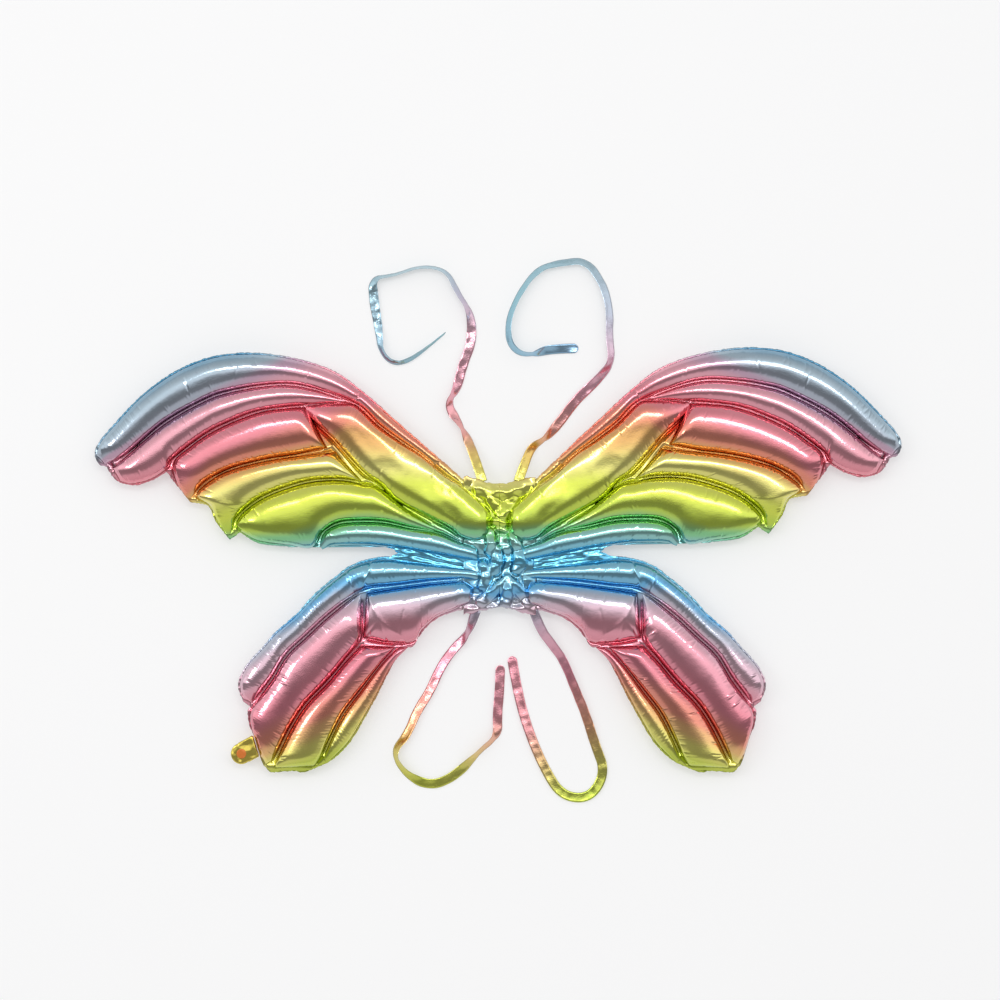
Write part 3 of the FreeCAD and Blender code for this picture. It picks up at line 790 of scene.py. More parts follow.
@dataclass
class AirCells:
    """All air cells of both wings, welded from two sheets and blown up."""

    seam_inset: float = 0.35      # from a seam line to the edge of the blown film, mm
    station: float = 1.9          # mesh spacing along a cell, mm
    columns: int = 18             # mesh columns across a cell
    puff_limit: float = 24.0      # half thickness that a very wide cell would reach, mm
    puff_width: float = 38.0
    widest: float = 58.0
    roundest: float = 0.46        # half thickness is never more than this share of the width
    half_limit: float = 18.6      # the film touches the floor below this, mm
    pucker_gap: tuple[float, float] = (6.0, 15.0)    # distance between creases along a seam, mm
    pucker_reach: tuple[float, float] = (4.0, 11.0)  # how far the film bulges between them, mm
    pucker_rise: tuple[float, float] = (0.12, 0.42)  # height of the film between two creases, mm
    tick_reach: tuple[float, float] = (9.0, 21.0)    # how far a sharp crease runs in from the seam, mm
    tick_depth: tuple[float, float] = (0.2, 0.85)
    tick_width: float = 0.85
    tick_share: float = 0.38      # a crease ends before the ridge, at this share of the cell's width
    pressure: float = 5.0
    slack: float = 0.030          # film gathered at the seams, as a share
    slack_reach: float = 7.0      # how far that slack reaches in from a seam, mm
    frames: int = 14
    most_moved: float = 5.0       # the most that blowing up may move a point, mm

    def skin(self, pattern: CellPattern) -> CellSkin:
        """Lays a cell's front and back sheet out as two grids that share their welded edge.

        Args:
            pattern: The cell.

        Returns:
            Its skin, rounded but without puckers.
        """
        lengths = [smooth_line(line, 10)[1] for line in (pattern.outer, pattern.inner)]
        rows = int(max(lengths) / self.station)
        length = sum(lengths) / 2
        outer, _ = smooth_line(pattern.outer, rows + 1)
        inner, _ = smooth_line(pattern.inner, rows + 1)
        gap = inner - outer
        width = np.linalg.norm(gap, axis=1)
        inset = np.minimum(self.seam_inset, width * 0.3) / width
        outer = outer + gap * inset[:, None]
        width = width * (1 - 2 * inset)
        gap = gap * (1 - 2 * inset)[:, None]
        half = self.puff_limit * (1 - np.exp(-np.minimum(width, self.widest) / self.puff_width))
        half = np.minimum(half, self.roundest * width)
        share = np.linspace(0, 1, rows + 1)
        fill = np.minimum(self.ramp(share * length, pattern.root_fill),
                          self.ramp((1 - share) * length, pattern.tip_fill))
        even = np.linspace(0, 1, self.columns + 1)
        columns = 0.5 * even + 0.25 * (1 - np.cos(np.pi * even))
        round_over = np.sqrt(np.clip(1 - (2 * columns - 1) ** 2, 0, 1))
        plan = outer[:, None, :] + gap[:, None, :] * columns[None, :, None]
        height = (half * fill)[:, None] * round_over[None, :]
        edge = np.zeros((rows + 1, self.columns + 1), bool)
        edge[[0, -1], :] = True
        edge[:, [0, -1]] = True
        front = np.arange(edge.size).reshape(edge.shape)
        back = front.copy()
        back[~edge] = edge.size + np.arange((~edge).sum())
        points = [np.column_stack([plan.reshape(-1, 2), np.where(edge, 0, height).ravel()])]
        points.append(np.column_stack([plan[~edge], -height[~edge]]))
        faces = self.quads(front) + [quad[::-1] for quad in self.quads(back)]
        grid_along = np.repeat((share * length)[:, None], self.columns + 1, axis=1)
        grid_across = np.repeat(columns[None, :], rows + 1, axis=0)
        grid_width = np.repeat(width[:, None], self.columns + 1, axis=1)
        stacked = [np.concatenate([grid.ravel(), grid[~edge]])
                   for grid in (grid_along, grid_across, grid_width)]
        return CellSkin(pattern, np.vstack(points), faces, *stacked, length)

    @staticmethod
    def ramp(distance: np.ndarray, reach: float) -> np.ndarray:
        """Share of the full height at a distance from a welded end, rounded like a pillow's end."""
        return np.sqrt(np.clip(1 - (1 - np.clip(distance / reach, 0, 1)) ** 2, 0, 1))

    @staticmethod
    def quads(numbers: np.ndarray) -> list:
        """Faces of a grid of vertex numbers."""
        corners = np.stack([numbers[:-1, :-1], numbers[1:, :-1], numbers[1:, 1:], numbers[:-1, 1:]], axis=-1)
        return corners.reshape(-1, 4).tolist()

    def from_edge(self, skin: CellSkin) -> np.ndarray:
        """Measures how far each point is from the nearest weld.

        Args:
            skin: The skin that is measured.

        Returns:
            The distance of each point, mm.
        """
        beside = np.minimum(skin.across, 1 - skin.across) * skin.width
        ends = np.minimum(skin.along, skin.length - skin.along)
        return np.minimum(beside, ends)

    def blow_up(self, skins: list[CellSkin]) -> None:
        """Blows the cells up as cloth under pressure, with slack film at the seams.

        Args:
            skins: The cells, whose points are moved.
        """
        scene = bpy.context.scene
        objects = []
        for skin in skins:
            obj = make_object(f"blown_{skin.pattern.name}", skin.points * MM, skin.faces, None)
            distance = self.from_edge(skin)
            held = obj.vertex_groups.new(name="weld")
            held.add(np.flatnonzero(distance < 1e-6).tolist(), 1.0, "REPLACE")
            loose = obj.vertex_groups.new(name="slack")
            for number, weight in enumerate(np.exp(-(distance / self.slack_reach) ** 2)):
                loose.add([number], float(weight), "REPLACE")
            face_outwards(obj)
            cloth = obj.modifiers.new("Cloth", "CLOTH")
            film = cloth.settings
            film.quality = 5
            film.mass = 0.05
            film.air_damping = 3
            film.tension_stiffness = film.compression_stiffness = 30
            film.shear_stiffness = 15
            film.bending_stiffness = 0.03
            film.use_pressure = True
            film.uniform_pressure_force = self.pressure
            film.vertex_group_mass = "weld"
            film.shrink_min = 0.0
            film.shrink_max = -self.slack
            film.vertex_group_shrink = "slack"
            film.effector_weights.gravity = 0
            cloth.collision_settings.use_collision = False
            cloth.point_cache.frame_start = 1
            cloth.point_cache.frame_end = self.frames
            objects.append(obj)
        scene.frame_start, scene.frame_end = 1, self.frames
        for number in range(1, self.frames + 1):
            scene.frame_set(number)
        for skin, obj in zip(skins, objects):
            apply_modifiers(obj)
            moved = coordinates(obj.data) / MM - skin.points
            far = np.linalg.norm(moved, axis=1)
            moved *= (np.minimum(far, self.most_moved) / np.maximum(far, 1e-9))[:, None]
            skin.points = skin.points + moved
            bpy.data.objects.remove(obj)
        scene.frame_set(1)

    def refine(self, skin: CellSkin) -> CellSkin:
        """Divides a skin once more with a subdivision surface, and keeps its welded edge sharp.

        Args:
            skin: The skin.

        Returns:
            The finer skin.
        """
        obj = make_object("refined", skin.points, skin.faces, None)
        face_outwards(obj)
        mesh = obj.data
        for name, values in (("along", skin.along), ("across", skin.across), ("width", skin.width)):
            mesh.attributes.new(name, "FLOAT", "POINT").data.foreach_set("value", values)
        welded = self.from_edge(skin) < 1e-6
        ends = np.empty(len(mesh.edges) * 2, int)
        mesh.edges.foreach_get("vertices", ends)
        creased = welded[ends.reshape(-1, 2)].all(axis=1).astype(np.float32)
        mesh.attributes.new("crease_edge", "FLOAT", "EDGE").data.foreach_set("value", creased)
        finer = obj.modifiers.new("finer", "SUBSURF")
        finer.levels = finer.render_levels = 1
        apply_modifiers(obj)
        mesh = obj.data
        read = []
        for name in ("along", "across", "width"):
            values = np.empty(len(mesh.vertices))
            mesh.attributes[name].data.foreach_get("value", values)
            read.append(values)
        faces = [list(polygon.vertices) for polygon in mesh.polygons]
        finer_skin = CellSkin(skin.pattern, coordinates(mesh), faces, *read, skin.length)
        finer_skin.points = self.normals_kept(mesh, finer_skin)
        bpy.data.objects.remove(obj)
        return finer_skin

    @staticmethod
    def normals_kept(mesh: bpy.types.Mesh, skin: CellSkin) -> np.ndarray:
        """Sets a skin's points beside the mesh's vertex normals.

        Args:
            mesh: The mesh that gives the normals.
            skin: The skin that gives the points.

        Returns:
            Six columns: the points, then the normals.
        """
        normals = np.empty(len(mesh.vertices) * 3)
        mesh.vertex_normals.foreach_get("vector", normals)
        return np.column_stack([skin.points, normals.reshape(-1, 3)])

    def puckers(self, skin: CellSkin, seed: int) -> np.ndarray:
        """Height of the small puckers along both seams: the film rises between sharp creases.

        Args:
            skin: A refined skin.
            seed: Picks where the creases fall.

        Returns:
            Rise along the normal for each point, mm.
        """
        rng = np.random.default_rng(seed)
        rise = np.zeros(len(skin.along))
        for distance in (skin.across * skin.width, (1 - skin.across) * skin.width):
            gaps = rng.uniform(*self.pucker_gap, size=int(skin.length / self.pucker_gap[0]) + 4)
            creases = np.concatenate([[-9.0], -9.0 + np.cumsum(gaps)])
            reach = rng.uniform(*self.pucker_reach, size=len(creases))
            height = rng.uniform(*self.pucker_rise, size=len(creases))
            slant = rng.uniform(-0.35, 0.35, size=len(creases))
            first = np.clip(np.searchsorted(creases, skin.along) - 1, 0, len(creases) - 2)
            leaning = skin.along + slant[first] * distance
            spot = np.clip(np.searchsorted(creases, leaning) - 1, 0, len(creases) - 2)
            share = np.clip((leaning - creases[spot]) / (creases[spot + 1] - creases[spot]), 0, 1)
            fade = np.exp(-(distance / reach[spot]) ** 1.6) * np.clip(distance / 4.5, 0, 1) ** 1.5
            rise += height[spot] * (np.sin(np.pi * share) ** 0.7 - 0.65) * fade
            beside = np.where(share > 0.5, spot + 1, spot)
            length = rng.uniform(*self.tick_reach, size=len(creases))
            depth = rng.uniform(*self.tick_depth, size=len(creases)) * rng.choice([0.25, 1.0],
                                                                                  size=len(creases))
            off = (leaning - creases[beside]) / self.tick_width
            stop = np.minimum(length[beside], self.tick_share * skin.width)
            run = np.clip((distance - 3.0) / 4.0, 0, 1) * np.clip((stop - distance) / 3.0, 0, 1)
            rise -= depth[beside] * np.exp(-np.abs(off) ** 1.4) * run
        rise *= np.clip(skin.width / 34.0, 0.2, 1.0)
        for fold in skin.pattern.folds:
            start, end = np.array(fold.start), np.array(fold.end)
            run = end - start
            place = np.clip((skin.points[:, :2] - start) @ run / (run @ run), 0, 1)
            gap = np.linalg.norm(skin.points[:, :2] - start - place[:, None] * run, axis=1)
            held = np.clip(self.from_edge(skin) / 5.0, 0, 1)
            rise -= fold.depth * np.exp(-(gap / fold.width) ** 1.3) * held
        return rise

    def build(self, side: Side, lobe: Lobe, skins: list[CellSkin], finishes: Finishes) -> None:
        """Makes one lobe's cells on one side.

        Args:
            side: The wing.
            lobe: Upper or lower wing.
            skins: The refined skins of that lobe.
            finishes: The finishes.
        """
        for number, skin in enumerate(skins):
            node = f"{side.value}_{lobe.value}_{skin.pattern.name}"
            seed = number + 100 * (lobe is Lobe.LOWER) + 1000 * (side is Side.RIGHT)
            flat, normals = skin.points[:, :3], skin.points[:, 3:]
            shaped = flat + normals * self.puckers(skin, seed)[:, None]
            share = np.abs(shaped[:, 2]) / self.half_limit
            over = np.maximum(share - 0.7, 0.0) / 0.3
            height = np.sign(shaped[:, 2]) * self.half_limit * (np.minimum(share, 0.7) + 0.3 * np.tanh(over))
            plan = PLACEMENT.place(shaped[:, 0], shaped[:, 1], side, lobe)
            points = np.column_stack([plan, height + SEAM_Z]) * MM
            obj = make_object(f"{node}_film", points, skin.faces, finishes.blown)
            face_outwards(obj)
            paint(obj, PRINT.at(flat[:, 0], flat[:, 1], lobe))
            map_seams(obj, skin.along, np.minimum(skin.across, 1 - skin.across) * skin.width)
            if skin.pattern in CELLS[lobe]:
                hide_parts(node)
            self.attach(obj, side, lobe, skin.pattern.name)
            log.info("cell %s: %d faces", node, len(obj.data.polygons))

    @staticmethod
    def attach(obj: bpy.types.Object, side: Side, lobe: Lobe, name: str) -> None:
        """Hangs a cell on its wing, and leaves the ones that cross a fold where they lie, with their place
        baked in.

        Args:
            obj: The cell's object.
            side: The side of the body that it is on.
            lobe: The upper or the lower wing.
            name: The cell's name in the pattern.
        """
        upper_wing = f"{side.value}_upper_wing"
        if name in ("arm_tube", "trailing_tube", "leading_root", "cell_root"):
            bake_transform(obj)
        elif lobe is Lobe.UPPER:
            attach(obj, upper_wing)
        elif name in ("leading_tube", "root_cell"):
            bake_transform(obj)
        else:
            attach(obj, f"{side.value}_lower_wing")


# ---------------------------------------------------------------- welded film


@dataclass
class WeldFilm:
    """The flat welded margin round the cells of one lobe, with its trimmed, slightly frilly edge."""

    hole_inset: float = 1.3       # from a seam line to the edge of the hole behind a cell, mm
    rim: float = 1.5              # welded film outside the outermost seam, mm
    frill: float = 0.5            # how far the trimmed edge wanders, mm
    wave: float = 0.12            # how far the film waves up and down, mm
    rim_wave: float = 9.0         # how much more its trimmed edge waves
    tab_root: tuple[float, float] = (299.5, -227.5)  # where the filling tab leaves the seam
    tab_reach: float = 20.0       # the edge is trimmed to the seam this near to it, mm
    step: float = 1.8             # spacing of points along an edge, mm
    thickness: float = 0.2

    def outline(self, lobe: Lobe) -> np.ndarray:
        """Walks round the trimmed outer edge of a lobe's film.

        Args:
            lobe: The upper or the lower wing.

        Returns:
            The edge as points in order, in pattern mm.
        """
        parts = []
        for stretch in OUTLINES[lobe]:
            _, length = smooth_line(stretch, 4)
            points, _ = smooth_line(stretch, max(2, int(length / self.step)))
            parts.append(points[:-1])
        loop = np.vstack(parts)
        ahead = np.roll(loop, -1, axis=0) - np.roll(loop, 1, axis=0)
        ahead /= np.maximum(np.linalg.norm(ahead, axis=1), 1e-9)[:, None]
        normal = np.column_stack([ahead[:, 1], -ahead[:, 0]])
        area = 0.5 * np.sum(loop[:, 0] * np.roll(loop[:, 1], -1) - np.roll(loop[:, 0], -1) * loop[:, 1])
        rng = np.random.default_rng(7 if lobe is Lobe.UPPER else 8)
        reach = self.rim + self.frill * rng.uniform(-1, 1, size=len(loop))
        if lobe is Lobe.LOWER:
            from_tab = np.linalg.norm(loop - np.array(self.tab_root), axis=1)
            reach = reach * (1 - np.exp(-((from_tab / self.tab_reach) ** 6)))
        return loop + normal * (reach * math.copysign(1.0, area))[:, None]

    def hole(self, pattern: CellPattern) -> np.ndarray:
        """Walks round the hole behind a cell.

        Args:
            pattern: The cell's pattern.

        Returns:
            The hole as points in order, in pattern mm.
        """
        count = int(max(smooth_line(line, 4)[1] for line in (pattern.outer, pattern.inner))
                    / (self.step * 1.5))
        outer, _ = smooth_line(pattern.outer, count)
        inner, _ = smooth_line(pattern.inner, count)
        across = inner - outer
        width = np.linalg.norm(across, axis=1)
        inset = np.minimum(self.hole_inset, width * 0.35)
        across = across / width[:, None]
        keep = slice(2, -2)
        return np.vstack([(outer + across * inset[:, None])[keep],
                          (inner - across * inset[:, None])[keep][::-1]])

    def build(self, side: Side, lobe: Lobe, finishes: Finishes) -> None:
        """Makes the film of one lobe.

        Args:
            side: The wing.
            lobe: Upper or lower wing.
            finishes: The finishes.
        """
        root = 46.0
        loops = [self.outline(lobe)]
        for pattern in CELLS[lobe]:
            hole = self.hole(pattern)
            hole[:, 0] = np.maximum(hole[:, 0], root + 2.5)
            loops.append(hole)
        work = bmesh.new()
        for loop in loops:
            spread = [loop[0]]
            for point in loop[1:]:
                if np.linalg.norm(point - spread[-1]) > 0.6:
                    spread.append(point)
            verts = [work.verts.new((p[0], p[1], 0.0)) for p in spread]
            for a, b in zip(verts, verts[1:] + verts[:1]):
                work.edges.new((a, b))
        bmesh.ops.triangle_fill(work, use_beauty=True, use_dissolve=False, edges=work.edges[:])
        mesh = bpy.data.meshes.new("film")
        work.to_mesh(mesh)
        work.free()
        flat = coordinates(mesh)
        faces = [list(polygon.vertices) for polygon in mesh.polygons]
        bpy.data.meshes.remove(mesh)
        wave = crumple(flat[:, 0], flat[:, 1], 21 + 3 * (side is Side.RIGHT), 6.0, self.wave)
        rim_points = len(loops[0])
        wave[:rim_points] *= self.rim_wave
        plan = PLACEMENT.place(flat[:, 0], flat[:, 1], side, lobe)
        points = np.column_stack([plan, wave + SEAM_Z]) * MM
        name = f"{side.value}_{lobe.value}_weld_film"
        obj = make_object(name, points, faces, finishes.welded)
        paint(obj, PRINT.at(flat[:, 0], flat[:, 1], lobe))
        face_outwards(obj)
        thicken(obj, self.thickness)
        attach(obj, f"{side.value}_{lobe.value}_wing")
        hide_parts(f"{side.value}_{lobe.value}_front_sheet", f"{side.value}_{lobe.value}_back_sheet")
        log.info("weld film %s %s: %d faces", side.value, lobe.value, len(obj.data.polygons))


@dataclass
class NotchWeb:
    """The crumpled flat film that joins the upper and the lower wing, torn ragged at the notch."""

    upper: Line = field(default_factory=lambda: [(42, 3), (76, 9), (116, 16), (150, 19)])
    lower: Line = field(default_factory=lambda: [(42, -11), (74, -8), (111, -3), (150, 0)])
    rows: int = 84
    columns: int = 14
    fold: float = 3.6             # distance between folds across the web, mm
    stretch: float = 8.0          # how much longer the folds run along the web
    depth: float = 1.5            # how deep the film is crumpled, mm
    film: float = 0.2

    def build(self, side: Side, finishes: Finishes) -> None:
        """Makes the web of one side.

        Args:
            side: The wing.
            finishes: The finishes.
        """
        top, _ = smooth_line(self.upper, self.rows + 1)
        bottom, _ = smooth_line(self.lower, self.rows + 1)
        down = np.linspace(0, 1, self.columns + 1)
        plan = top[:, None, :] + (bottom - top)[:, None, :] * down[None, :, None]
        ragged = 21 * np.sin(np.pi * np.clip(down * 1.12, 0, 1)) ** 0.8 + 3.5 * np.abs((down * 4) % 1 * 2 - 1)
        share = np.linspace(0, 1, self.rows + 1)[:, None] ** 3
        plan[:, :, 0] -= ragged[None, :] * share
        out, up = plan[:, :, 0], plan[:, :, 1]
        seed = 31 if side is Side.LEFT else 36
        height = crumple(out / self.stretch, up - out * 0.14, seed, self.fold, self.depth, 5)
        height += crumple(out, up, seed + 1, 14.0, 1.2, 4)
        height = height * np.sin(np.pi * (0.12 + 0.76 * down))[None, :] + 0.8
        flat = np.column_stack([out.ravel(), up.ravel()])
        points = np.column_stack([PLACEMENT.place(flat[:, 0], flat[:, 1], side, Lobe.UPPER),
                                  height.ravel() + SEAM_Z]) * MM
        grid = np.arange(len(points)).reshape(self.rows + 1, self.columns + 1)
        faces = AirCells.quads(grid)
        if side is Side.LEFT:
            faces = [face[::-1] for face in faces]
        obj = make_object(f"{side.value}_notch_web", points, faces, finishes.gathered)
        paint(obj, PRINT.at(flat[:, 0], flat[:, 1] - 4.0, Lobe.UPPER))
        thicken(obj, self.film)
        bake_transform(obj)
        log.info("web %s: %d faces", side.value, len(obj.data.polygons))


# ---------------------------------------------------------------- tie ribbons


@dataclass(frozen=True)
class RibbonRoute:
    """One tie ribbon: its route in mm, how it rolls about its line, and its inks from root to end."""

    node: str
    points: Route
    rolls: Line             # (share of the length, roll in degrees)
    inks: list[tuple[float, str]]
    end_width: float = 1.0  # width of the free end as a share of the full width


ROUTES = [
    RibbonRoute(
        "upper_left_strap",
        [(-21, 98, SEAM_Z), (-28, 120, 14.0), (-38, 147, 6.0), (-49, 169, 1.5), (-66, 194, 0.5),
         (-53, 214, 0.5), (-46, 243, 0.5), (-34, 273, 0.5), (-36, 308, 0.5), (-53, 334, 0.5),
         (-66, 361, 0.5), (-98, 366, 0.5), (-130, 354, 0.5), (-158, 351, 0.5), (-156, 322, 0.5),
         (-150, 288, 0.5), (-147, 258, 0.5), (-129, 243, 0.5), (-102, 254, 0.5), (-67, 284, 0.5)],
        [(0, 0), (0.10, 25), (0.13, 70), (0.17, 20), (0.21, 62), (0.24, 20), (0.36, 8), (0.42, 60),
         (0.47, 58),
         (0.52, 66), (0.60, 68), (0.655, 64), (0.69, 15), (0.77, 5), (0.83, 50), (0.90, 35), (0.96, 55),
         (1, 60)],
        [(0, "#CBCB62"), (0.07, "#D8B86E"), (0.12, "#E2A19A"), (0.22, "#E6A6B4"), (0.36, "#E3B4C2"),
         (0.44, "#BFB9CC"), (0.52, "#A5C2CE"), (0.62, "#A0BFC9"), (0.8, "#9DB9CA"), (1, "#9CC6D2")],
        end_width=0.25,
    ),
    RibbonRoute(
        "upper_right_strap",
        [(23, 98, SEAM_Z), (31, 121, 14.0), (40, 142, 6.0), (57, 152, 1.5), (74, 171, 0.5),
         (95, 200, 0.5), (119, 222, 0.5), (140, 246, 0.5), (136, 278, 0.5), (137, 311, 0.5),
         (129, 343, 0.5), (108, 373, 0.5), (78, 370, 0.5), (48, 363, 0.5), (24, 331, 0.5),
         (10, 297, 0.5), (13, 266, 0.5), (34, 254, 0.5), (63, 264, 0.5), (98, 264, 0.5)],
        [(0, 0), (0.08, 30), (0.115, 62), (0.15, 8), (0.28, 14), (0.33, 45), (0.38, 40), (0.5, 38),
         (0.58, 40), (0.66, 50), (0.76, 58), (0.85, 52), (0.9, 70), (0.93, 20), (1, 0)],
        [(0, "#CDCB62"), (0.08, "#DDB56C"), (0.14, "#E5A396"), (0.24, "#E8A7B5"), (0.34, "#D9B3C4"),
         (0.44, "#B4BBCB"), (0.56, "#A6C0CC"), (0.75, "#93C1CE"), (1, "#92B4D2")],
    ),
    RibbonRoute(
        "lower_left_strap",
        [(-29, -61, SEAM_Z), (-34, -77, 14.0), (-42, -95, 6.0), (-59, -112, 1.5), (-74, -134, 0.5),
         (-86, -162, 0.5), (-103, -188, 0.5), (-114, -216, 0.5), (-133, -238, 0.5),
         (-118, -264, 0.5), (-87, -281, 0.5), (-55, -268, 0.5), (-27, -238, 0.5),
         (-2, -217, 0.5), (-3, -192, 0.5), (0, -162, 0.5), (1, -130, 0.5)],
        [(0, 0), (0.07, 55), (0.11, 20), (0.3, 18), (0.4, 35), (0.47, 62), (0.52, 40), (0.56, 5), (0.68, 10),
         (0.74, 58), (0.80, 55), (0.83, 15), (1, 10)],
        [(0, "#B7B2C4"), (0.08, "#D9A9B8"), (0.2, "#E391A1"), (0.36, "#E0A07C"), (0.45, "#CFC065"),
         (0.56, "#BFC650"), (0.68, "#CBC860"), (0.78, "#DFB08A"), (0.86, "#E79DA8"), (1, "#EFA6B4")],
    ),
    RibbonRoute(
        "lower_right_strap",
        [(42, -61, SEAM_Z), (50, -83, 14.0), (63, -101, 6.0), (79, -122, 1.5), (92, -154, 0.5),
         (107, -190, 0.5), (119, -229, 0.5), (132, -263, 0.5), (113, -296, 0.5),
         (77, -293, 0.5), (55, -257, 0.5), (36, -212, 0.5), (22, -163, 0.5), (15, -119, 0.5)],
        [(0, 0), (0.1, 22), (0.2, 30), (0.4, 10), (0.6, 6), (0.8, 12), (1, 4)],
        [(0, "#B7B2C4"), (0.08, "#DBAABA"), (0.2, "#E393A4"), (0.33, "#DFA184"), (0.44, "#CDC468"),
         (0.53, "#BBCB50"), (0.62, "#C3CB58"), (0.72, "#DDB784"), (0.8, "#EAA3A6"), (1, "#EFA2B2")],
    ),
]


@dataclass
class TieRibbons:
    """The four film ribbons that tie the wings on, lying loose on the floor."""

    width: float = 12.0
    film: float = 0.22            # two welded films
    curl: float = 0.5             # how far the ribbon's edges lift, mm
    step: float = 1.6
    columns: int = 6
    floor_gap: float = 0.25

    def centreline(self, route: RibbonRoute) -> np.ndarray:
        """Points of the smooth line through a route, evenly spaced, in mm.

        Args:
            route: The ribbon's route.

        Returns:
            One row a point, read from a NURBS curve on the route's points.
        """
        curve = bpy.data.curves.new(f"{route.node}_line", "CURVE")
        curve.dimensions = "3D"
        curve.resolution_u = 24
        spline = curve.splines.new("NURBS")
        spline.points.add(len(route.points) - 1)
        for point, place in zip(spline.points, route.points):
            point.co = (*(value * MM for value in place), 1.0)
        spline.order_u = 3
        spline.use_endpoint_u = True
        holder = bpy.data.objects.new(curve.name, curve)
        bpy.context.scene.collection.objects.link(holder)
        bpy.context.view_layer.update()
        traced = bpy.data.meshes.new_from_object(holder)
        line = coordinates(traced) / MM
        bpy.data.objects.remove(holder)
        bpy.data.curves.remove(curve)
        bpy.data.meshes.remove(traced)
        travelled = np.concatenate([[0], np.cumsum(np.linalg.norm(np.diff(line, axis=0), axis=1))])
        stations = np.linspace(0, travelled[-1], int(travelled[-1] / self.step))
        return np.column_stack([np.interp(stations, travelled, line[:, axis]) for axis in range(3)])

    def build(self, finishes: Finishes) -> None:
        """Makes the ribbons.

        Args:
            finishes: The finishes.
        """
        for number, route in enumerate(ROUTES):
            line = self.centreline(route)
            share = np.linspace(0, 1, len(line))
            roll = np.radians(np.interp(share, *np.array(route.rolls, float).T))
            resting = line[:, 2] < 3.0
            lift = self.width / 2 * np.abs(np.sin(roll)) + self.floor_gap
            line[:, 2] = np.where(resting, np.maximum(line[:, 2], lift), np.maximum(line[:, 2], lift + 1.0))
            line[:, 2] = np.convolve(np.pad(line[:, 2], 4, mode="edge"), np.ones(9) / 9, mode="valid")
            line[:, 2] = np.maximum(line[:, 2], lift)
            ahead = np.gradient(line, axis=0)
            ahead /= np.linalg.norm(ahead, axis=1)[:, None]
            level = np.cross([0.0, 0.0, 1.0], ahead)
            level /= np.linalg.norm(level, axis=1)[:, None]
            upright = np.cross(ahead, level)
            sideways = level * np.cos(roll)[:, None] + upright * np.sin(roll)[:, None]
            facing = np.cross(ahead, sideways)
            across = np.linspace(-1, 1, self.columns + 1)
            narrowing = np.interp(share, [0, 0.72, 1], [1, 1, route.end_width])
            rounded = np.sqrt(np.clip(
                1 - np.clip((share - 1) * len(line) * self.step / 6 + 1, 0, 1) ** 2, 0.05, 1))
            half = self.width / 2 * narrowing * rounded
            place = line[:, None, :] + sideways[:, None, :] * (across[None, :] * half[:, None])[:, :, None]
            stations = np.arange(len(line)) * self.step
            dents = crumple(stations[:, None] + 0 * across, across * 6 + 0 * stations[:, None], 40 + number,
                            13.0, 0.9)
            bow = self.curl * across[None, :] ** 2 + dents * np.cos(roll)[:, None]
            place = place + facing[:, None, :] * bow[:, :, None]
            place[:, :, 2] = np.maximum(place[:, :, 2], 0.15)
            points = place.reshape(-1, 3)
            grid = np.arange(len(points)).reshape(len(line), self.columns + 1)
            obj = make_object(f"{route.node}_ribbon", points * MM, AirCells.quads(grid), finishes.ribbon)
            stops, inks = zip(*route.inks)
            linear_inks = np.array([linear(ink) for ink in inks])
            shade = np.column_stack([np.interp(share, stops, linear_inks[:, channel])
                                     for channel in range(3)])
            paint(obj, np.repeat(np.column_stack([shade, np.ones(len(share))]), self.columns + 1, axis=0))
            thicken(obj, self.film)
            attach(obj, "centre")
            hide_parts(route.node)


# ---------------------------------------------------------------- gathered middle


@dataclass(frozen=True)
class Pleat:
    """A swollen fold of the gather: its ridge as (x, y) in mm, half width and height at each point."""

    ridge: Line
    half_width: tuple[float, ...]
    height: tuple[float, ...]


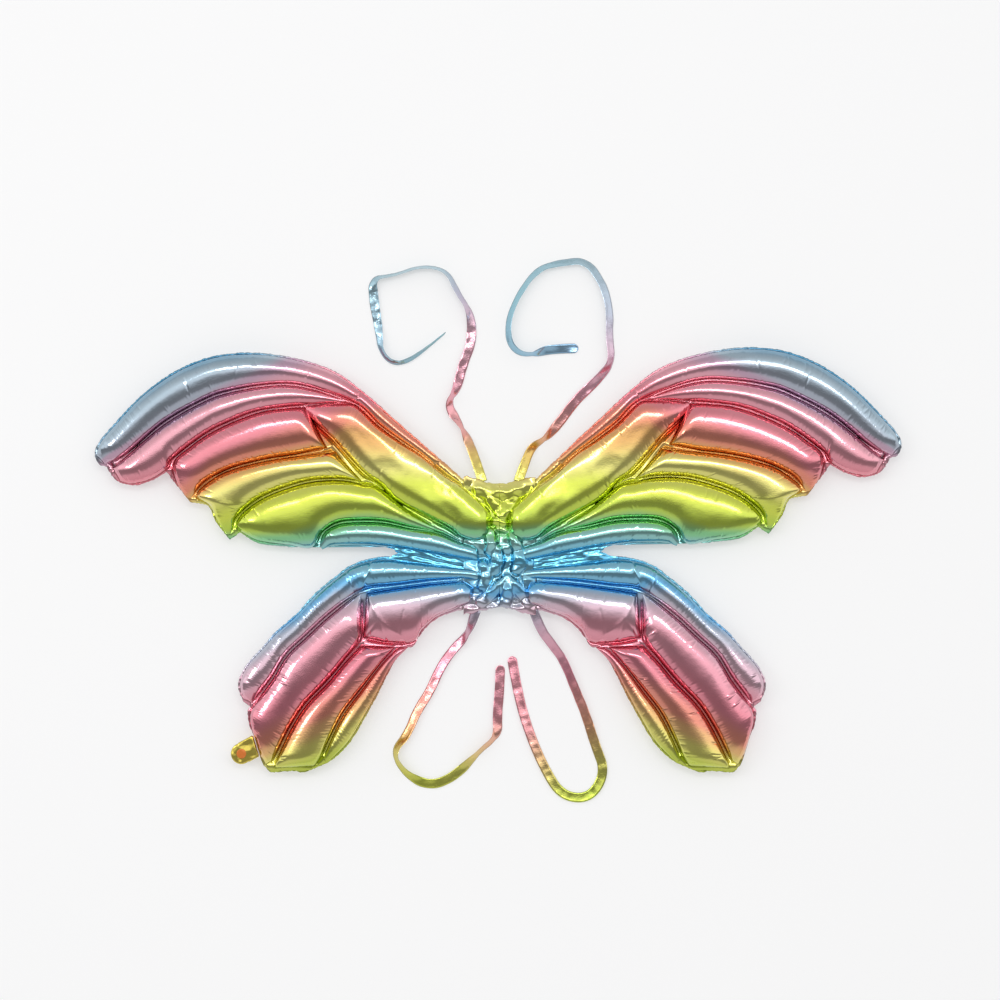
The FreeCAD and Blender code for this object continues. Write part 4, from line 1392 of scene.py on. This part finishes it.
@dataclass
class GatheredMiddle:
    """The bunched film between the wings: front and back sheet, each in a left and a right half."""

    reach: float = 44.4           # how far each half runs out over the wing roots, mm
    edge_fade: float = 14.0       # it flattens onto the wing roots over this distance, mm
    low: float = -66.0
    high: float = 104.0
    flat_width: float = 50.0      # film in each half when it is spread flat, a guess from its folds, mm
    step: float = 1.1
    base: float = 1.6             # height of the flat film between the folds, mm
    film: float = 0.2
    pleats: tuple[Pleat, ...] = (
        Pleat([(-24, 90), (-6, 84), (12, 84), (30, 90)], (11, 10, 10, 11), (5, 6.5, 6.5, 5)),
        Pleat([(-10, 76), (-2, 66), (1, 56)], (9, 8, 6), (6.5, 7, 7)),
        Pleat([(16, 78), (10, 66), (6, 56)], (9, 8, 6), (6, 7.5, 7)),
        Pleat([(-5, 48), (5, 46)], (6, 6), (9, 9)),
        Pleat([(-2, 40), (8, 38)], (4, 4), (8.5, 8)),
        Pleat([(-12, 34), (-10, 22), (-12, 12)], (8, 8, 7), (8.5, 9.5, 8)),
        Pleat([(17, 34), (20, 22), (24, 12)], (8, 8, 7), (8.5, 9.5, 8)),
        Pleat([(-4, 12), (-3, 0), (-6, -12)], (8, 10, 8), (9, 11, 8)),
        Pleat([(24, 8), (26, -2), (22, -10)], (9, 11, 9), (9.5, 11, 8)),
        Pleat([(-20, -4), (-16, -16), (-20, -30)], (7, 8, 8), (7, 8, 7)),
        Pleat([(36, -4), (34, -16), (36, -28)], (6, 7, 8), (6, 7, 7)),
        Pleat([(8, -20), (-6, -36), (-22, -50)], (4, 8, 8), (6, 8, 6.5)),
        Pleat([(10, -20), (10, -38), (6, -54)], (4, 8, 8), (6, 8.5, 6)),
        Pleat([(12, -20), (24, -36), (36, -50)], (4, 8, 8), (6, 8, 6.5)),
        Pleat([(-46, -61), (-30, -60), (0, -60), (30, -60), (50, -62)], (4, 5, 4, 5, 4),
              (3.5, 4.5, 3.5, 4.5, 3.5)),
    )

    def relief(self, x: np.ndarray, y: np.ndarray, front: bool) -> np.ndarray:
        """Height of the gather's film off the seam plane.

        Args:
            x: Places in mm.
            y: Places in mm.
            front: Whether it is the front sheet.

        Returns:
            Heights in mm.
        """
        top = np.full(x.shape, self.base)
        place = np.stack([x, y], axis=-1)
        for pleat in self.pleats:
            line, _ = smooth_line(pleat.ridge, 24)
            share = np.linspace(0, 1, 24)
            stops = np.linspace(0, 1, len(pleat.ridge))
            half_width = np.interp(share, stops, pleat.half_width)
            height = np.interp(share, stops, pleat.height)
            gap = np.linalg.norm(place[..., None, :] - line, axis=-1) / half_width
            nearest = gap.argmin(axis=-1)
            closeness = np.take_along_axis(gap, nearest[..., None], axis=-1)[..., 0]
            swell = self.base + (height[nearest] - self.base) * np.sqrt(np.clip(1 - closeness**2, 0, 1))
            top = np.maximum(top, swell)
        seed = 60 if front else 90
        creased = crumple(x, y, seed, 23.0, 3.6, 4) + crumple(x, y, seed + 1, 11.0, 0.6, 3)
        return np.maximum(self.softened(self.softened(top + creased)), 0.35)

    @staticmethod
    def softened(height: np.ndarray) -> np.ndarray:
        """Rounds the folds over one step of the grid, as film this stiff can't fold sharper.

        Args:
            height: The height over the grid.

        Returns:
            The rounded height over the same grid.
        """
        padded = np.pad(height, 1, mode="edge")
        beside = padded[:-2, 1:-1] + padded[2:, 1:-1] + padded[1:-1, :-2] + padded[1:-1, 2:]
        return 0.4 * height + 0.15 * beside

    def build(self, finishes: Finishes) -> None:
        """Makes the four quarters of the gather.

        Args:
            finishes: The finishes.
        """
        for side in Side:
            for front in (True, False):
                self.quarter(side, front, finishes)

    def quarter(self, side: Side, front: bool, finishes: Finishes) -> None:
        """Makes the front or the back sheet of one half.

        Args:
            side: Left or right half.
            front: Whether it is the front sheet.
            finishes: The finishes.
        """
        sign = -1 if side is Side.LEFT else 1
        columns = int(self.reach / self.step) + 1
        rows = int((self.high - self.low) / self.step) + 1
        out = np.linspace(0, self.reach, columns)
        up_share = np.linspace(0, 1, rows)
        waist = 1 - 0.10 * np.cos(out / self.reach * math.pi / 2) ** 2
        x, share = np.meshgrid(sign * out, up_share, indexing="ij")
        middle = (self.low + self.high) / 2
        y = middle + (share - 0.5) * (self.high - self.low) * waist[:, None]
        fringe = crumple(x, y * 0, 77, 9.0, 3.0)
        y = y + fringe * np.abs(share * 2 - 1) ** 3
        edge = np.clip(np.minimum(share, 1 - share) / 0.06, 0, 1)
        side_edge = np.clip((self.reach - out) / self.edge_fade, 0, 1)[:, None]
        height = self.relief(x, y, front) * (0.15 + 0.85 * np.sqrt(edge)) * (0.12 + 0.88 * side_edge)
        z = SEAM_Z + height * (1 if front else -1)
        points = np.stack([x, y, z], axis=-1).reshape(-1, 3)
        grid = np.arange(len(points)).reshape(columns, rows)
        faces = AirCells.quads(grid)
        layer = "front" if front else "back"
        obj = make_object(f"centre_{layer}_gather_{side.value}", points * MM, faces, finishes.gathered)
        flat_out, flat_up = np.abs(points[:, 0]), points[:, 1]
        upper = PRINT.at(flat_out, flat_up, Lobe.UPPER)
        lower = PRINT.at(flat_out, flat_up, Lobe.LOWER)
        paint(obj, np.where((flat_up > -3)[:, None], upper, lower))
        work = bmesh.new()
        work.from_mesh(obj.data)
        if sum(face.normal.z for face in work.faces) * (1 if front else -1) < 0:
            bmesh.ops.reverse_faces(work, faces=work.faces)
        work.to_mesh(obj.data)
        work.free()
        thicken(obj, self.film)
        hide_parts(f"centre_{layer}_gather")
        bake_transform(obj)
        log.info("gather %s %s: %d faces", layer, side.value, len(obj.data.polygons))


# ---------------------------------------------------------------- inflation tab


@dataclass
class InflationTab:
    """The flat filling tab on the left lower wing, with its printed spot and the valve inside."""

    centre: tuple[float, float] = (319.0, -238.0)
    radius: float = 13.0
    root: tuple[tuple[float, float], tuple[float, float]] = ((303.5, -214.0), (295.5, -241.0))
    root_gap: float = 1.5         # from the wing's seam to the tab's root, which leaves room to fold, mm
    gap: float = 0.75             # from the seam plane to each sheet, mm
    film: float = 0.2
    mark_radius: float = 6.0
    ink: str = "#D9C458"
    rings: int = 14
    spokes: int = 72

    def surface(self, x: np.ndarray, y: np.ndarray) -> np.ndarray:
        """Height of the tab's front sheet off the seam plane: slack film with small folds, mm."""
        return self.gap + 0.55 + crumple(x, y, 11, 12.0, 1.0, 4)

    def rim(self, turn: np.ndarray) -> np.ndarray:
        """Gives the distance from the tab's centre to its edge.

        Args:
            turn: The directions, in radians.

        Returns:
            The distance in each direction, mm.
        """
        middle = np.array(self.root).mean(axis=0)
        towards = math.atan2(middle[1] - self.centre[1], middle[0] - self.centre[0])
        away = np.abs((turn - towards + math.pi) % (2 * math.pi) - math.pi)
        start, end = np.array(self.root)
        along = (end - start) / np.linalg.norm(end - start)
        square = np.array([-along[1], along[0]])
        offset = (np.array(self.centre) - start) @ square
        closing = -math.copysign(1.0, offset) * (np.column_stack([np.cos(turn), np.sin(turn)]) @ square)
        to_root = (abs(offset) - self.root_gap) / np.maximum(closing, 1e-3)
        neck = 13.5 / np.maximum(np.sin(away), 1e-3)
        flare = np.where(away < 1.35, np.minimum(to_root, neck), self.radius)
        return np.maximum(flare, self.radius)

    def build(self, finishes: Finishes) -> None:
        """Makes the two sheets and the spot, and dresses the valve.

        Args:
            finishes: The finishes.
        """
        turn = np.linspace(0, 2 * math.pi, self.spokes, endpoint=False)
        share = np.linspace(0, 1, self.rings + 1)[1:]
        rim = self.rim(turn)
        out = self.centre[0] + np.outer(share, rim * np.cos(turn))
        up = self.centre[1] + np.outer(share, rim * np.sin(turn))
        flat = np.vstack([[self.centre], np.column_stack([out.ravel(), up.ravel()])])
        edge = np.concatenate([[0.0], np.repeat(share, self.spokes)])
        close = np.sqrt(np.clip(1 - edge**6, 0.0, 1))
        faces = []
        for spoke in range(self.spokes):
            beside = (spoke + 1) % self.spokes
            faces.append([0, 1 + spoke, 1 + beside])
            for ring in range(self.rings - 1):
                low, high = 1 + ring * self.spokes, 1 + (ring + 1) * self.spokes
                faces.append([low + spoke, high + spoke, high + beside, low + beside])
        for layer, sign in (("front", 1), ("back", -1)):
            height = 0.18 + (self.surface(flat[:, 0], flat[:, 1]) - 0.18) * close
            points = np.column_stack([-flat[:, 0], flat[:, 1], SEAM_Z + sign * height]) * MM
            obj = make_object(f"tab_{layer}_film", points, faces if sign < 0 else [f[::-1] for f in faces],
                              finishes.welded)
            inks = np.tile(np.append(linear(self.ink), 1.0), (len(flat), 1))
            paint(obj, inks)
            thicken(obj, self.film)
            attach(obj, "inflation_tab")
            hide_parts(f"tab_{layer}_sheet")
        self.mark(finishes)
        for node in ("valve_front_film", "valve_back_film"):
            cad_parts[node].data.materials.clear()
            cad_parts[node].data.materials.append(finishes.valve)
        log.info("inflation tab: two sheets, a spot and two valve films")

    def mark(self, finishes: Finishes) -> None:
        """Prints the plain round spot on the tab's front sheet.

        Args:
            finishes: The finishes.
        """
        bpy.ops.object.select_all(action="DESELECT")
        place = (-self.centre[0] * MM, self.centre[1] * MM, SEAM_Z * MM)
        bpy.ops.mesh.primitive_circle_add(vertices=48, radius=self.mark_radius * MM, fill_type="NGON",
                                          location=place)
        obj = bpy.context.object
        obj.name = "filling_mark_print"
        bpy.ops.object.mode_set(mode="EDIT")
        bpy.ops.mesh.select_all(action="SELECT")
        for _ in range(5):
            bpy.ops.mesh.inset(thickness=1.05 * MM, depth=0.0)
        bpy.ops.object.mode_set(mode="OBJECT")
        bpy.ops.object.transform_apply(location=True, rotation=True, scale=True)
        points = coordinates(obj.data)
        lift = self.surface(-points[:, 0] / MM, points[:, 1] / MM) + self.film
        points[:, 2] = (SEAM_Z + lift) * MM
        put_coordinates(obj.data, points)
        obj.data.materials.append(finishes.mark)
        thicken(obj, 0.12)
        obj.data.shade_smooth()
        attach(obj, "inflation_tab")
        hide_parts("filling_mark")
        obj.select_set(False)


# ---------------------------------------------------------------- studio


@dataclass
class Studio:
    """Pale floor, soft light from above the upper wings, and a camera straight overhead."""

    view_width: float = 1.236     # what the camera takes in, metres
    view_centre: tuple[float, float] = (0.0006, 0.0754)
    lens: float = 85.0
    sensor: float = 36.0
    # Brightness of the studio round the object against the direction's y, from behind the lower
    # wings to behind the upper wings: a dark gap overhead, then the large softbox.
    room: tuple[tuple[float, float], ...] = (
        (-1.0, 0.76), (-0.78, 0.80), (-0.60, 0.72), (-0.42, 0.36), (-0.10, 0.30), (-0.01, 0.62),
        (0.07, 1.26), (0.30, 1.30), (0.46, 1.02), (0.66, 0.80), (0.86, 0.72), (1.0, 0.74),
    )

    def build(self) -> None:
        """Makes the floor, the light and the camera."""
        self.floor()
        self.light()
        self.camera()
        bpy.context.scene.view_settings.view_transform = "Standard"
        log.info("studio: floor, room light, two lamps and camera")

    @staticmethod
    def floor() -> None:
        """Lays a wide matt white sweep under the wings."""
        bpy.ops.object.select_all(action="DESELECT")
        bpy.ops.mesh.primitive_plane_add(size=12.0, location=(0, 0, -0.0004))
        floor = bpy.context.object
        floor.name = "studio_floor"
        bpy.ops.object.transform_apply(location=True, rotation=True, scale=True)
        material, tree = blank_material("matt_white_paper_rolled")
        place = add_node(tree, "ShaderNodeTexCoord").outputs["Object"]
        grain = add_node(tree, "ShaderNodeTexNoise", {"Scale": 400.0, "Detail": 2.0}, {"Vector": place})
        relief = add_node(tree, "ShaderNodeBump", {"Distance": 0.00005}, {"Height": grain.outputs[0]})
        shader = add_node(tree, "ShaderNodeBsdfPrincipled",
                          {"Roughness": 0.9, "Specular IOR Level": 0.0,
                           "Base Color": (0.55, 0.55, 0.553, 1.0),
                           "Emission Color": (1.0, 1.0, 1.0, 1.0), "Emission Strength": 0.42},
                          {"Normal": relief.outputs[0]})
        add_node(tree, "ShaderNodeOutputMaterial", links={"Surface": shader.outputs[0]})
        floor.data.materials.append(material)
        floor.select_set(False)

    def light(self) -> None:
        """Lights the room: soft tones all round, and two lamps for crisp glints."""
        world = bpy.data.worlds.new("studio_room")
        bpy.context.scene.world = world
        world.use_nodes = True
        tree = world.node_tree
        tree.nodes.clear()
        direction = add_node(tree, "ShaderNodeTexCoord").outputs["Generated"]
        split = add_node(tree, "ShaderNodeSeparateXYZ", links={"Vector": direction})
        share = add_node(tree, "ShaderNodeMapRange", {"From Min": -1.0, "From Max": 1.0},
                         {"Value": split.outputs["Y"]}).outputs[0]
        ramp = add_node(tree, "ShaderNodeValToRGB", links={"Fac": share})
        stops = ramp.color_ramp.elements
        brightest = max(level for _, level in self.room)
        while len(stops) < len(self.room):
            stops.new(0.5)
        for stop, (y, level) in zip(stops, self.room):
            stop.position = (y + 1) / 2
        for stop, (y, level) in zip(sorted(stops, key=lambda s: s.position), self.room):
            tone = level / brightest
            stop.color = (tone, tone, tone, 1.0)
        back = add_node(tree, "ShaderNodeBackground", {"Strength": brightest}, {"Color": ramp.outputs[0]})
        add_node(tree, "ShaderNodeOutputWorld", links={"Surface": back.outputs[0]})
        self.lamp("softbox_key", (0.2, 1.0, 2.9), (2.2, 0.30), 13.0)
        self.lamp("softbox_side", (-2.0, 0.5, 2.2), (0.3, 1.2), 7.0)

    @staticmethod
    def lamp(name: str, place: tuple[float, float, float], size: tuple[float, float], power: float) -> None:
        """Adds a rectangular softbox that faces the wings.

        Args:
            name: Its name.
            place: Where it hangs, metres.
            size: Its width and height, metres.
            power: Its power in watts.
        """
        lamp = bpy.data.lights.new(name, "AREA")
        lamp.shape = "RECTANGLE"
        lamp.size, lamp.size_y = size
        lamp.energy = power
        holder = bpy.data.objects.new(name, lamp)
        holder.location = place
        holder.rotation_euler = (-Vector(place)).to_track_quat("-Z", "Y").to_euler()
        bpy.context.scene.collection.objects.link(holder)

    def camera(self) -> None:
        """Hangs the camera straight over the wings."""
        camera = bpy.data.cameras.new("overhead_camera")
        camera.lens = self.lens
        camera.sensor_width = self.sensor
        distance = self.view_width * self.lens / self.sensor
        holder = bpy.data.objects.new("overhead_camera", camera)
        holder.location = (*self.view_centre, distance + SEAM_Z * MM)
        bpy.context.scene.collection.objects.link(holder)
        bpy.context.scene.camera = holder


def main() -> None:
    """Builds the object piece by piece."""
    bpy.ops.object.select_all(action="DESELECT")
    finishes = Finishes()
    Studio().build()
    TieRibbons().build(finishes)
    cells = AirCells()
    skins = {lobe: [cells.skin(pattern) for pattern in CELLS[lobe]] for lobe in Lobe}
    cells.blow_up(skins[Lobe.UPPER] + skins[Lobe.LOWER])
    skins[Lobe.LOWER] += [cells.skin(pattern) for pattern in ROOT_STRETCHES]
    for lobe in Lobe:
        refined = [cells.refine(skin) for skin in skins[lobe]]
        for side in Side:
            cells.build(side, lobe, refined, finishes)
            WeldFilm().build(side, lobe, finishes)
    for side in Side:
        NotchWeb().build(side, finishes)
    GatheredMiddle().build(finishes)
    InflationTab().build(finishes)


if __name__ == "__main__":
    main()
